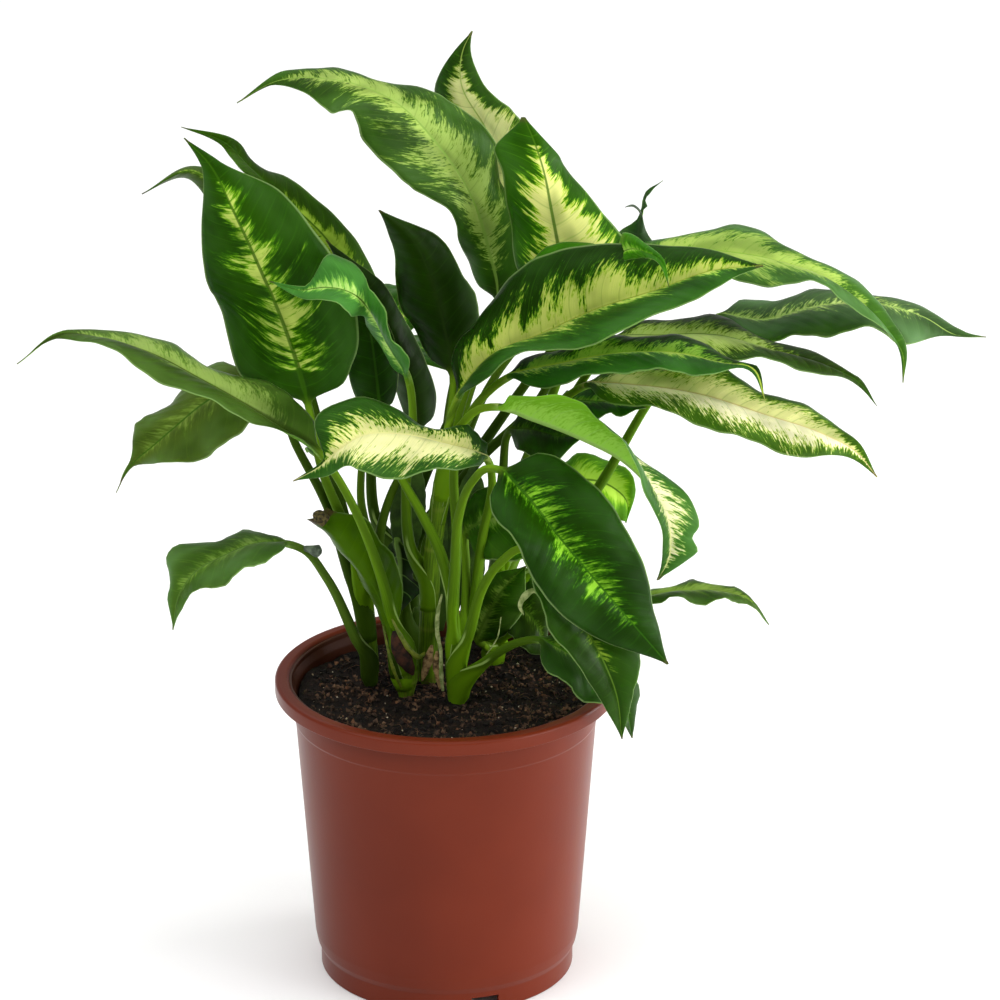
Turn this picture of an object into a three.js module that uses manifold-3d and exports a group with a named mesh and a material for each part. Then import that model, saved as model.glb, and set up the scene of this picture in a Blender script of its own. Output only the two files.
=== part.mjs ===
// A potted dieffenbachia: a terracotta-coloured nursery pot, the soil in it, six canes standing in the
// soil, and one solid for each leaf with its stalk. Millimetres, +Z up. The origin is the middle of the
// pot's base on the plane it stands on, and the front of the plant faces -Y.
import * as THREE from "three";
import { mergeVertices } from "three/addons/utils/BufferGeometryUtils.js";
import Module from "manifold-3d";

// ---- driving dimensions ------------------------------------------------------------------------
const POT_HEIGHT = 156;
const RIM_RADIUS = 85.2; // outside of the lip
const MOUTH_RADIUS = 78; // inner edge of the lip
const LIP_HEIGHT = 7.5;
const WALL_TOP_RADIUS = 76.2; // outside of the wall, just under the lip
const WALL_STEP_RADIUS = 75.2; // outside of the wall at the stacking step
const STEP_HEIGHT = 135; // a faint stacking step runs round the wall here
const STEP_DEPTH = 0.6;
const STEP_FLARE = 1;
const RIM_CHAMFER = 1.2;
const WALL_FOOT_RADIUS = 66.8; // outside of the wall where its bottom corner begins
const CORNER_HEIGHT = 19;
const FOOT_RADIUS = 64;
const FOOT_HEIGHT = 10;
const FOOT_LIP = 1.8; // width of the ring the pot stands on
const FOOT_DRAFT = 0.7;
const FOOT_FLARE = 3.5;
const WALL = 1.6;
const FLOOR_BOTTOM = 7.5;
const FLOOR_TOP = 9.5;
const BOSS_RADIUS = 12; // flat pad under the middle of the base
const NOTCH_WIDTH = 14;
const NOTCH_HEIGHT = 6;
const NOTCH_ANGLES = [-72, 18, 108, 198]; // degrees from the front, positive to the right
const DRAIN_HOLES = 6;
const DRAIN_RADIUS = 5;
const DRAIN_CIRCLE = 42;
const DRAIN_SIDES = 10;
const POT_SIDES = 40;

const SOIL_LEVEL = 146.5;
const SOIL_BOTTOM = 9.8;
const SOIL_ROUGHNESS = 1.6; // height of the soil's broad waves
const SOIL_WAVE = 6.8; // their length, over one turn
const SOIL_FINE_SHARE = 0.6;
const SOIL_FINE_WAVE = 4.3;
const SOIL_SIDES = 22;
const CANE_SIDES = 10;
const CANE_STEPS = 5;
const GAP = 0.3; // clearance between neighbouring solids

const BLADE_THICKNESS = 0.8;
const COLUMNS = [-1, -0.5, 0, 0.5, 1]; // across a blade, from its left edge to its right edge
const STALK_STEP = 28;
const BLADE_STEP = 16;
const MOST_BLADE_STEPS = 12;
const FIRST_STRIP = 0.35; // share of a step at the blade's base, where the outline opens fast
const TIP_SHARE = 0.02; // narrowest share of the half width, at base and tip
const STALK_BLEND = 0.07; // share of the blade's length over which the stalk flattens into it
const RIB_HEIGHT = 0.8; // depth of the midrib's ridge at the base, in stalk radii
const RIGHT_EDGE_PHASE = 2.1; // the right edge's waves run ahead of the left edge's

// Leaves are drawn as they are seen from the front. Each point is [across, up, back]: across and up in
// a picture plane that stands PLANE away from EYE, square to the line of sight, with its zero on the
// pot's axis at the level of the base, and back as the depth behind the pot's axis.
const EYE = new THREE.Vector3(27, -2068, 1030);
const SIGHT_PITCH = THREE.MathUtils.degToRad(20.7); // downwards
const PLANE = 2250;
const SIGHT_ACROSS = 27;
const SIGHT_UP = 227.5;

// Each cane stands in its own hole in the soil. Points run from its foot to its top.
const CANES = [
  {
    name: "cane_left",
    foot: 6.5,
    top: 5.2,
    points: [[-37, 11, 100], [-38, 12, 150], [-40, 14, 180], [-42, 15, 205]],
  },
  {
    name: "cane_middle_left",
    foot: 9,
    top: 7.8,
    points: [[-20, -4, 100], [-20, -4, 150], [-22, -4, 172]],
  },
  {
    name: "cane_middle",
    foot: 6.8,
    top: 5,
    points: [[-10, 17, 100], [-9, 15, 160], [-6, 10, 220], [0, 4, 264]],
  },
  {
    name: "cane_middle_right",
    foot: 7,
    top: 6.4,
    points: [[5, -11, 100], [5, -11, 150], [4, -13, 178]],
  },
  {
    name: "cane_right",
    foot: 6.5,
    top: 5,
    points: [[24, 42, 100], [24, 42, 160], [27, 44, 205], [29, 46, 225]],
  },
  {
    name: "cane_back",
    foot: 6.5,
    top: 5,
    points: [[-18, 48, 100], [-19, 50, 170], [-20, 53, 225]],
  },
];

// cane numbers the cane a leaf grows on, half is its real half width, and blade runs from the base to
// the tip. A row of three is a point of the midrib; a row of nine adds what is seen of the left and of
// the right edge there, each as [across, up, lean]. The leaves of a cane are listed from its middle
// outwards.
const LEAF_DEFAULTS = {
  shape: "leaf",
  arch: 0.1, // rise of each half between midrib and edge, as a share of its width
  wave: 2.2, // height of the waves along the edge
  waves: 3.2,
  phase: 0.5,
  stalkTop: 1.9, // stalk radius at the blade
  stalkFoot: 3.6, // stalk radius at the cane
  fewestSteps: 6, // fewest strips of the blade
};

const LEAVES = [
  // large leaf that rises from the middle and arches over to the upper left
  {
    name: "leaf_arching_left",
    cane: 3, half: 34, wave: 3.2, waves: 5, fewestSteps: 16,
    stalk: [[0, 237.5, 10], [6, 262.5, 22], [17, 297.5, 34]],
    blade: [
      [26.5, 325, 38],
      [21.5, 352.5, 40, 9.5, 347.5, -0.6, 39, 357.5, 0.3],
      [12, 380, 36, -1, 374, 0.7, 29, 388.5, -0.5],
      [-3, 403.5, 26, -25, 388.5, 0.8, 15, 418.5, -0.6],
      [-29, 428.5, 10, -48, 419.5, 0.9, -22, 435.5, -0.8],
      [-60.5, 438, -4, -64, 426, 0.9, -59, 442.5, -0.9],
      [-85.5, 436.5, -12, -87, 435, 0, -84.5, 441, 0],
      [-104.5, 426, -16],
    ],
  },
  // the highest leaf, behind the arching one
  {
    name: "leaf_top",
    cane: 6, half: 32,
    stalk: [[-20.5, 197.5, 50], [-0.5, 262.5, 58], [27, 312.5, 62]],
    blade: [
      [42, 340, 64],
      [34, 375, 68, 20, 370, -1, 50, 382.5, 0.8],
      [20.5, 412.5, 74, 3, 403.5, -1, 38, 418.5, 0.9],
      [7.5, 437.5, 78, -5, 437.5, -0.7, 19.5, 434.5, 0.7],
      [8.5, 452.5, 80, 4.5, 452.5, 0, 12.5, 451.5, 0],
      [13, 462, 80],
    ],
  },
  // broad upright leaf to the right of the top
  {
    name: "leaf_upright",
    cane: 6, half: 36,
    stalk: [[-18, 197.5, 46], [12, 242.5, 40], [49.5, 282.5, 26]],
    blade: [
      [60, 315.5, 17],
      [57, 348.5, 12, 35, 346.5, -0.5, 94, 348.5, -0.4],
      [53, 371, 12, 31, 371.5, -0.5, 78, 372, -0.4],
      [48, 395, 16, 25.5, 398.5, -0.4, 59, 395.5, -0.8],
      [42.5, 411, 20, 30, 410.5, 0, 48.5, 408.5, -0.6],
      [39, 419, 22],
    ],
  },
  // dark upright leaf left of the middle
  {
    name: "leaf_dark_centre",
    cane: 3, half: 34,
    stalk: [[-0.5, 227.5, 8], [1, 257.5, 12]],
    blade: [
      [3.5, 290, 14],
      [0, 310, 14, -16, 312.5, -0.6, 17, 318.5, -0.3],
      [-6.5, 335, 13, -25, 332.5, -0.6, 11, 336, -0.3],
      [-16.5, 357.5, 10, -26, 352.5, -0.6, -4.5, 359.5, -0.6],
      [-33.5, 372.5, 4],
    ],
  },
  // large folded leaf that sweeps to the right across the middle
  {
    name: "leaf_sweeping_right",
    cane: 3, half: 35,
    stalk: [[0, 240, 4], [0.5, 260, 1]],
    blade: [
      [6, 278.5, -4],
      [24, 300.5, -14, 12, 315, -0.9, 30, 297, 0.9],
      [47, 310, -24, 35, 339.5, -0.6, 55, 302.5, 1],
      [77, 323.5, -34, 64, 355, -0.5, 83, 308.5, 1],
      [104.5, 332, -40, 102, 354.5, -0.8, 116, 325, 1],
      [133, 342, -42, 133, 353, -0.8, 138, 334.5, 0.9],
      [158.5, 344.5, -40],
    ],
  },
  // leaf behind the sweeping one, its tip curled over that edge
  {
    name: "leaf_curled_tip",
    cane: 3, half: 22,
    stalk: [[0, 242.5, 10], [8, 277.5, 12]],
    blade: [
      [27, 316.5, 6],
      [52, 338.5, -4, 49.5, 354.5, -0.6, 59.5, 327.5, 0.4],
      [81, 348.5, -14, 83, 354.5, -1, 83, 342.5, 0.1],
      [99, 351.5, -52, 97.5, 357.5, -0.6, 100, 348.5, 0.6],
      [108.5, 345.5, -66, 109.5, 346.5, 0, 107, 344.5, 0.3],
      [111.5, 334, -70],
    ],
  },
  // young leaf with a thin curled tip
  {
    name: "leaf_young",
    cane: 6, half: 12, wave: 0.6, fewestSteps: 12,
    stalk: [[-13, 197.5, 52], [27, 267.5, 60], [77, 327.5, 58]],
    blade: [
      [97, 343.5, 56],
      [95.5, 356, 56, 83, 357, -0.4, 105, 354.5, -0.4],
      [96.5, 363, 56, 88, 363, -0.4, 100, 362, -0.4],
      [97.25, 367.5, 56, 95.25, 367.25, 0, 98.5, 368, 0],
      [97.75, 372, 56, 97.1, 372, 0, 98.5, 372.25, 0],
      [99.15, 375, 56, 97.95, 374.5, 0, 100.8, 374.75, 0],
      [99.1, 377.25, 56, 98.3, 377.25, 0, 99.7, 377.25, 0],
      [101, 381.25, 55.5, 99.9, 381.7, 0, 101.8, 380.5, 0],
      [108.5, 387.25, 54],
    ],
  },
  // long leaf that arches down to the right
  {
    name: "leaf_long_right",
    cane: 5, half: 33,
    stalk: [[28, 197.5, 42], [47, 262.5, 44], [69.5, 317.5, 42]],
    blade: [
      [88, 345.5, 38],
      [111, 352.5, 34, 107, 357.5, -0.9, 117, 344.5, 0.8],
      [139.5, 351.5, 28, 141, 364, -0.9, 146, 336, 0.9],
      [169.5, 345.5, 20, 172, 354, -1, 175, 336.5, 0.9],
      [199.5, 331.5, 12, 202, 337.5, -1, 196, 330, 0.9],
      [220, 312.5, 6, 223, 319, -0.9, 216, 314.5, 0.9],
      [228.5, 299.5, 3, 230.5, 302.5, 0, 226.5, 302.5, 0],
      [228.5, 286, 2],
    ],
  },
  // leaf that reaches furthest to the right
  {
    name: "leaf_far_right",
    cane: 5, half: 33,
    stalk: [
      [29.5, 177.5, 38], [49.5, 197.5, 44], [76, 233.5, 50], [99.5, 273.5, 52], [122, 306.5, 52],
    ],
    blade: [
      [136, 319, 52],
      [158, 317.5, 54, 161, 328, -1, 161, 306.5, 0.9],
      [187, 324.5, 56, 188, 331, -1, 186, 310.5, 1],
      [215, 325.5, 56, 217, 328, -1, 213, 312, 1],
      [239.5, 318.5, 52, 244.5, 320.5, -0.9, 234.5, 306.5, 0.9],
      [254.5, 310, 50, 258, 312.5, 0, 252, 309.5, 0],
      [270, 309, 48],
    ],
  },
  // narrow leaf to the right, behind the next two
  {
    name: "leaf_right_upper",
    cane: 5, half: 33,
    stalk: [[28, 197.5, 36], [49.5, 252.5, 34], [72, 292.5, 24]],
    blade: [
      [85, 308, 18],
      [107, 309.5, 12, 108, 318, -1, 112, 301.5, 0.9],
      [137, 309.5, 4, 138, 317.5, -1, 134, 298.5, 0.9],
      [164.5, 301.5, -3, 163, 305.5, -1, 160, 296.5, 0.9],
      [191, 294, -8, 193, 296.5, -0.9, 188, 291, 0.8],
      [206, 286.5, -10, 207.5, 288, 0, 204.5, 285.5, 0],
      [215.5, 274.5, -10],
    ],
  },
  // leaf to the right with a hooked tip
  {
    name: "leaf_right_middle",
    cane: 3, half: 32,
    stalk: [[1.5, 237.5, 0], [8, 262.5, -4], [19.5, 280, -8]],
    blade: [
      [30.5, 288.5, -12],
      [57, 295.5, -22, 57, 303.5, -0.9, 60.5, 285, 0.8],
      [87, 300.5, -32, 87, 308.5, -1, 91, 293, 0.9],
      [117, 300.5, -44, 117, 309, -0.8, 117, 290.5, 0.9],
      [139.5, 295.5, -52, 144.5, 297.5, -0.7, 136, 291.5, 0.8],
      [153, 293.5, -52, 155.5, 294.5, 0, 151, 292.5, 0],
      [159.5, 277.5, -52],
    ],
  },
  // pale leaf to the lower right
  {
    name: "leaf_right_lower",
    cane: 5, half: 34,
    stalk: [[26, 189.5, 37], [37, 237.5, 22], [52, 270, 8]],
    blade: [
      [69.5, 284.5, -2],
      [97, 284.5, -12, 102, 294.5, -0.8, 93, 274.5, 0.8],
      [129.5, 279.5, -24, 135, 294.5, -0.6, 125, 267, 0.8],
      [159.5, 270, -32, 165, 279.5, -0.8, 153, 255.5, 0.8],
      [188, 260.5, -38, 192, 267.5, -0.9, 183, 249.5, 0.9],
      [205, 251.5, -40, 208, 254.5, 0, 202, 248.5, 0],
      [215.5, 239, -40],
    ],
  },
  // leaf that shows its underside, then twists and hangs at the right
  {
    name: "leaf_twisted",
    cane: 4, half: 34, fewestSteps: 15,
    stalk: [
      [4.5, 153.5, -13], [3.5, 172.5, -14], [5.5, 207.5, -18], [4, 242.5, -24], [8, 265.5, -30],
      [17, 273, -33],
    ],
    blade: [
      [26, 274, -35],
      [44.5, 268, -40, 44, 272.5, -1, 41, 280.5, 0.8],
      [71, 257, -46, 73, 262, -1, 72, 272.5, 0.8],
      [89, 247, -52, 93, 251.5, -0.8, 86, 259.5, 0.9],
      [103, 232.5, -56, 115, 234.5, -0.5, 97.5, 234.5, 0.8],
      [111, 216.5, -58, 126.5, 214, -0.3, 107.25, 216.5, 0.6],
      [112, 209, -58, 124, 207.5, -0.3, 108.25, 209, 0.6],
      [112, 202.5, -58, 126, 201.5, -0.3, 108, 202.5, 0.5],
      [110.5, 196.5, -57, 120, 197, -0.2, 107.75, 197, 0.4],
      [105.5, 187.5, -56],
    ],
  },
  // large leaf hanging forwards at the front right
  {
    name: "leaf_front",
    cane: 4, half: 36,
    stalk: [
      [3, 157.5, -14], [4.5, 192.5, -22], [6.5, 220, -34], [13, 236.5, -47], [20, 243, -54],
    ],
    blade: [
      [27, 242.5, -60],
      [37.5, 232.5, -68, 53.5, 249.5, -0.5, 23, 222.5, 0.6],
      [57.5, 207.5, -80, 79, 228.5, -0.3, 37.5, 201.5, 0.6],
      [77, 184.5, -86, 97.5, 199.5, -0.3, 50, 177.5, 0.5],
      [94, 165, -86, 104, 171.5, -0.3, 73, 159.5, 0.5],
      [111, 145.5, -80],
    ],
  },
  // leaf below it that hangs over the rim
  {
    name: "leaf_over_rim",
    cane: 4, half: 34,
    stalk: [
      [5.5, 139.5, -16], [12, 162.5, -24], [18.5, 184, -34], [27, 196, -44], [38, 203, -52],
    ],
    blade: [
      [49.5, 196.5, -60],
      [64.5, 171.5, -72, 83, 179.5, -0.5, 47.5, 172.5, 0.5],
      [77, 150, -80, 98, 151.5, -0.3, 60, 151.5, 0.5],
      [84.5, 132.5, -82, 93.5, 133.5, 0, 75, 131.5, 0.4],
      [88, 108, -78],
    ],
  },
  // low leaf behind that one, across the rim
  {
    name: "leaf_on_rim",
    cane: 4, half: 30,
    stalk: [[10, 133.5, -16], [19, 145.5, -24], [28, 152.5, -34], [37, 156.5, -42]],
    blade: [
      [47, 157.5, -48],
      [60, 151.5, -52, 68, 159.5, -0.6, 53.5, 139.5, 0.6],
      [75, 140.5, -54, 84, 151.5, -0.6, 70, 127.5, 0.6],
      [88, 126.5, -52, 96, 131.5, -0.5, 83, 122.5, 0.5],
      [93, 108.5, -48],
    ],
  },
  // small low leaf pointing right
  {
    name: "leaf_low_right",
    cane: 5, half: 20,
    stalk: [[27, 157.5, 34], [49.5, 166.5, 24], [77, 174.5, 8]],
    blade: [
      [97, 178.5, -2],
      [117, 181.5, -8, 118, 185, -1, 117, 177.5, 0.9],
      [137, 181.5, -12, 136, 185, -1, 138, 176.5, 0.9],
      [151, 177.5, -14, 152.5, 178.5, -0.5, 149, 176.5, 0.5],
      [161.5, 165, -14],
    ],
  },
  // broad upright leaf at the left
  {
    name: "leaf_left_upright",
    cane: 1, half: 35,
    stalk: [[-43, 182.5, 8], [-50.5, 213.5, 2], [-62, 242.5, -6]],
    blade: [
      [-69, 275.5, -12],
      [-74, 294.5, -14, -103.5, 290.5, -0.4, -47, 294.5, -0.4],
      [-82, 317.5, -18, -112.5, 323.5, -0.4, -44, 318.5, -0.3],
      [-94.5, 346.5, -20, -120.5, 338.5, -0.5, -62, 357.5, -0.2],
      [-107.5, 374.5, -20, -122, 368.5, -0.6, -89, 385.5, -0.3],
      [-118, 395, -16, -122, 393.5, 0, -112, 396, 0],
      [-131, 408.5, -10],
    ],
  },
  // leaf behind it, its tip showing at the far left
  {
    name: "leaf_left_behind",
    cane: 1, half: 20,
    stalk: [[-42, 177.5, 16], [-50.5, 217.5, 20], [-64, 267.5, 26]],
    blade: [
      [-77, 312.5, 30],
      [-92, 352.5, 26, -102, 348.5, -0.8, -82, 357.5, -0.5],
      [-110, 379.5, 20, -117, 374.5, -0.8, -103, 384.5, -0.5],
      [-128, 392, 14, -130, 388.5, -0.8, -127, 394.5, -0.8],
      [-152, 380.5, 10],
    ],
  },
  // rolled leaf whose end opens over the upright one
  {
    name: "leaf_curled_left",
    cane: 3, half: 30,
    stalk: [[-10, 183.5, 13], [-17, 200, 13], [-20, 232.5, 12], [-16.5, 267.5, 4]],
    blade: [
      [-19, 288.5, -2],
      [-26.5, 302.5, -10, -30.5, 300.5, -0.9, -22.5, 303.5, 0.9],
      [-35, 318.5, -20, -38, 316.5, -0.9, -32, 321.5, 0.8],
      [-48, 331, -32, -49.5, 321.5, 0.7, -47, 344.5, -0.6],
      [-60.5, 333.5, -42, -62, 327.5, 0.7, -60.5, 349.5, -0.5],
      [-73, 332.5, -46, -74, 329, 0, -70, 334.5, 0],
      [-88.5, 337, -48],
    ],
  },
  // narrow dark leaf behind the rolled one
  {
    name: "leaf_narrow_left",
    cane: 2, half: 28,
    stalk: [
      [-24.5, 151.5, -2], [-30, 177.5, 6], [-33, 210, 12], [-26.5, 232.5, 16], [-18.5, 247.5, 19],
    ],
    blade: [
      [-14, 261.5, 24],
      [-16, 282.5, 28, -24.5, 280, -0.5, -5, 281.5, -0.4],
      [-27.5, 312.5, 30, -36, 308.5, -0.5, -19, 314.5, -0.4],
      [-42, 337.5, 26, -48, 333.5, -0.5, -33, 337, -0.4],
      [-60, 357.5, 20],
    ],
  },
  // folded leaf that reaches furthest up at the left
  {
    name: "leaf_folded_left",
    cane: 6, half: 30,
    stalk: [[-25, 197.5, 52], [-35, 217.5, 54], [-37.5, 242.5, 55], [-33, 277.5, 55]],
    blade: [
      [-28, 305, 52],
      [-43, 330, 48, -55, 323.5, -0.8, -31, 331.5, -0.6],
      [-60, 358.5, 42, -73, 351.5, -0.7, -47, 359, -0.5],
      [-80, 377.5, 36, -91, 371.5, -0.8, -73, 385.5, -0.5],
      [-97, 392.5, 28, -103, 392.5, 0.6, -94, 396, -0.6],
      [-112, 407, 22, -112.5, 405, 0, -109, 409.5, 0],
      [-132.5, 414, 16],
    ],
  },
  // dark leaf between the upright one and the middle
  {
    name: "leaf_inner_left",
    cane: 4, half: 30,
    stalk: [[3, 167.5, -12], [-3, 201.5, -10], [-13, 222, -4], [-23, 240, 2]],
    blade: [
      [-32.5, 271, 8],
      [-34.5, 287.5, 12, -47, 283.5, -0.3, -24, 288.5, -0.3],
      [-37.5, 310, 16, -49, 307.5, -0.3, -27, 311.5, -0.3],
      [-42, 332.5, 18],
    ],
  },
  // long level leaf that reaches furthest to the left
  {
    name: "leaf_far_left",
    cane: 2, half: 33,
    stalk: [
      [-23.5, 152.5, -5], [-26.5, 165, -8], [-30.5, 182.5, -14], [-38, 205, -24],
      [-45.5, 222.5, -32], [-55.5, 240.5, -38],
    ],
    blade: [
      [-63.5, 251.5, -41],
      [-81, 262.5, -45, -83.5, 262.5, 0.3, -72, 276, -0.7],
      [-103, 276, -48, -107, 271.5, 0.8, -92, 285.5, -1],
      [-123, 287.5, -50, -130, 280.5, 0.9, -117, 294, -1],
      [-148, 300.5, -48, -155, 295.5, 0.9, -139, 304.5, -1],
      [-170.5, 307.5, -44, -175, 304.5, 0.9, -168, 312.5, -1],
      [-193, 310, -40, -194, 308.5, 0, -193, 311.5, 0],
      [-214.5, 295.5, -38],
    ],
  },
  // pale leaf arching forwards in front of the stalks
  {
    name: "leaf_front_centre",
    cane: 4, half: 34,
    stalk: [[7.5, 142.5, -7], [12, 162.5, 2], [18, 207.5, 4], [23, 237.5, -8]],
    blade: [
      [20, 248.5, -22],
      [0.5, 255.5, -42, 0, 244, 0.8, 9, 264, -0.3],
      [-23, 260.5, -56, -23, 239, 0.6, -13, 265.5, -0.8],
      [-42, 259.5, -66, -45, 242, 0.6, -48, 278.5, -0.7],
      [-54, 252, -74, -52, 244, 0.5, -66, 265.5, -0.4],
      [-63, 244.5, -78, -61, 239, 0, -61, 247.5, 0],
      [-76.5, 237, -80],
    ],
  },
  // leaf that droops to the left below the level one
  {
    name: "leaf_left_drooping",
    cane: 1, half: 34,
    stalk: [[-42, 167.5, 12], [-50.5, 197.5, 8], [-58, 221.5, 4], [-75, 255, -2]],
    blade: [
      [-88, 281.5, -6],
      [-103, 285.5, -8, -96, 271.5, 0.6, -111, 297.5, -0.8],
      [-120, 276.5, -8, -107, 256.5, 0.6, -133, 281, -0.8],
      [-137, 262.5, -8, -128, 247, 0.5, -150, 268, -0.6],
      [-150.5, 251, -6, -145.5, 245.5, 0.3, -157.5, 257.5, -0.3],
      [-154.5, 248, -5, -151.5, 245.25, 0, -157.5, 249.5, 0],
      [-158, 244.5, -4, -157.25, 243.75, 0, -158.75, 245.25, 0],
      [-165, 231, -2],
    ],
  },
  // lowest leaf at the left
  {
    name: "leaf_low_left",
    cane: 1, half: 30,
    stalk: [[-37.5, 139.5, 6], [-47, 162.5, -4], [-60, 189, -16], [-71, 202.5, -24]],
    blade: [
      [-79, 205.5, -30],
      [-95.5, 205.5, -38, -92, 197.5, 0.8, -95, 210.5, -0.8],
      [-112, 199, -46, -107, 187.5, 0.8, -117, 208, -0.7],
      [-125.5, 191, -50, -121, 183, 0.6, -139, 199.5, -0.6],
      [-133, 180.5, -52, -130, 177.5, 0.3, -138.5, 184.5, -0.3],
      [-136.5, 162.5, -54],
    ],
  },
  // folded sheath left by a leaf that was cut off
  {
    name: "sheath_cut",
    cane: 2, half: 14, shape: "sheath",
    stalk: [[-24, 143.5, -6]],
    blade: [
      [-27, 157.5, -10],
      [-35, 181.5, -12, -42, 182.5, -0.8, -26, 191.5, -0.6],
      [-47, 199.5, -14, -54, 200, -0.8, -37, 208.5, -0.4],
      [-57, 212.5, -14, -63, 211, -0.5, -48, 219, -0.3],
      [-66, 218.5, -12],
    ],
  },
  // bright leaf behind the front one
  {
    name: "leaf_right_inner",
    cane: 5, half: 28,
    stalk: [[31, 187.5, 46], [42, 212.5, 56]],
    blade: [
      [53, 230, 64],
      [70, 237.5, 68, 66, 250, -0.5, 73, 224.5, 0.3],
      [83, 234, 70, 90, 243.5, -0.3, 80, 218.5, 0.3],
      [90, 227.5, 69, 95, 232, 0, 87, 217.5, 0],
      [90, 216, 67],
    ],
  },
  // dark leaf under the pale one at the right
  {
    name: "leaf_right_hidden",
    cane: 5, half: 22,
    stalk: [[29.5, 207.5, 40], [42, 252.5, 26]],
    blade: [
      [56, 275.5, 12],
      [77, 276.5, 8, 78, 283.5, -0.6, 77, 269, 0.6],
      [100, 273.5, 2],
    ],
  },
  // shaded leaf behind the front one, to its left
  {
    name: "leaf_shaded_front",
    cane: 4, half: 28,
    stalk: [[6.5, 147.5, -6], [9.5, 170, 5], [10, 197.5, 12]],
    blade: [
      [10, 210.5, 16],
      [22, 218.5, 11, 12, 229.5, -0.4, 25, 197.5, 0.3],
      [37, 224, 4, 34, 236.5, -0.4, 42, 199.5, 0.4],
      [57, 227.5, -10],
    ],
  },
  // shaded leaf among the stalks
  {
    name: "leaf_shaded_back",
    cane: 6, half: 22,
    stalk: [[-22, 157.5, 44], [-20, 187.5, 42], [-21, 210.5, 38]],
    blade: [
      [-24.5, 207.5, 30],
      [-23.5, 199.5, 28, -30, 201, -0.3, -15, 198.5, 0.3],
      [-22.5, 188.5, 28, -25, 188.5, -0.8, -15, 189.5, 0.6],
      [-23, 177.5, 27, -25, 177.5, -0.8, -15.5, 177.5, 0.6],
      [-32.5, 167.5, 26],
    ],
  },
  // low shaded leaf with a round lobe
  {
    name: "leaf_shaded_low",
    cane: 5, half: 26,
    stalk: [[22.5, 152.5, 37], [19, 155, 27]],
    blade: [
      [16, 157.5, 20],
      [23, 174.5, 18, 12, 177.5, -0.1, 37.5, 170.5, 0.3],
      [30, 184.5, 16, 19, 188.5, -0.1, 39, 178.5, 0.3],
      [40, 194.5, 14],
    ],
  },
  // low shaded leaf between that one and the front one
  {
    name: "leaf_shaded_right",
    cane: 5, half: 26,
    stalk: [[26, 162.5, 37], [29, 168.5, 31]],
    blade: [
      [31, 171.5, 26],
      [38, 173.5, 18, 43, 188.5, -0.3, 34, 158.5, 0.3],
      [45, 165.5, 13, 51.5, 177.5, -0.3, 39, 152.5, 0.3],
      [50, 150.5, 9],
    ],
  },
  // shaded leaf under the twisted one
  {
    name: "leaf_shaded_middle",
    cane: 5, half: 28,
    stalk: [[27, 207.5, 42], [28.5, 242.5, 26]],
    blade: [
      [33, 262.5, 12],
      [44.5, 262.5, 0, 47, 272.5, -0.2, 42, 250, 0.5],
      [57, 259.5, -8, 60, 267.5, -0.2, 53, 246.5, 0.5],
      [69.5, 259.5, -16],
    ],
  },
  // leaf spreading to the back right
  {
    name: "leaf_back_right",
    cane: 6, half: 33,
    stalk: [[-21, 182.5, 52], [-4, 207.5, 64], [5, 242.5, 70], [22, 285, 82]],
    blade: [
      [39.5, 308.5, 96],
      [62, 327.5, 128, 34, 332.5, -1, 90, 322.5, 1],
      [80.5, 333.5, 160, 53, 337.5, -1, 107, 327.5, 1],
      [97, 331.5, 196],
    ],
  },
  // leaf spreading to the back left
  {
    name: "leaf_back_left",
    cane: 6, half: 32,
    stalk: [[-24, 182.5, 56], [-22, 242.5, 72], [-17, 287.5, 86]],
    blade: [
      [-20.5, 308.5, 98],
      [-38, 323.5, 128, -60, 316.5, -1, -16, 332.5, 1],
      [-56, 324.5, 158, -77, 318.5, -1, -35, 332.5, 1],
      [-73, 320.5, 188],
    ],
  },
  // leaf spreading straight back
  {
    name: "leaf_back_middle",
    cane: 6, half: 32,
    stalk: [[-21.5, 174.5, 55], [-7, 197.5, 70], [-2, 237.5, 78], [2, 277.5, 86]],
    blade: [
      [4.5, 290.5, 94],
      [4, 300.5, 122, -27, 301.5, 0.3, 34, 299.5, 0.3],
      [4, 306.5, 156, -25, 306.5, 0.3, 33, 305.5, 0.3],
      [4.5, 309.5, 192],
    ],
  },
  // lower leaf at the back left
  {
    name: "leaf_back_low_left",
    cane: 6, half: 28,
    stalk: [[-23, 157.5, 53], [-35, 197.5, 66], [-42.5, 227.5, 80]],
    blade: [
      [-42, 251.5, 94],
      [-46, 256.5, 122, -70, 251.5, -1, -23, 262.5, 1],
      [-55, 261.5, 166],
    ],
  },
  // lower leaf at the back right
  {
    name: "leaf_back_low_right",
    cane: 5, half: 28,
    stalk: [[26.5, 161.5, 48], [30, 183.5, 58], [34, 202.5, 66]],
    blade: [
      [42, 223.5, 78],
      [55, 226.5, 112, 31, 231.5, -1, 79, 221.5, 1],
      [72, 227.5, 156],
    ],
  },
];

// ---- colours -----------------------------------------------------------------------------------
const finish = (color, roughness) =>
  new THREE.MeshStandardMaterial({ color, roughness, metalness: 0 });
const TERRACOTTA = finish(0x8c422e, 0.42);
const PEAT = finish(0x2a1c14, 0.95);
const STEM_GREEN = finish(0x6e9632, 0.5);
const LEAF_GREEN = finish(0x2f6a1e, 0.4);

// ---- solids and booleans -----------------------------------------------------------------------
const wasm = await Module();
wasm.setup();

function solidOf(geometry) {
  const bare = geometry.clone();
  bare.deleteAttribute("normal");
  bare.deleteAttribute("uv");
  const merged = mergeVertices(bare, 1e-4);
  return new wasm.Manifold(
    new wasm.Mesh({
      numProp: 3,
      vertProperties: new Float32Array(merged.attributes.position.array),
      triVerts: new Uint32Array(merged.index.array),
    }),
  );
}

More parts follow.
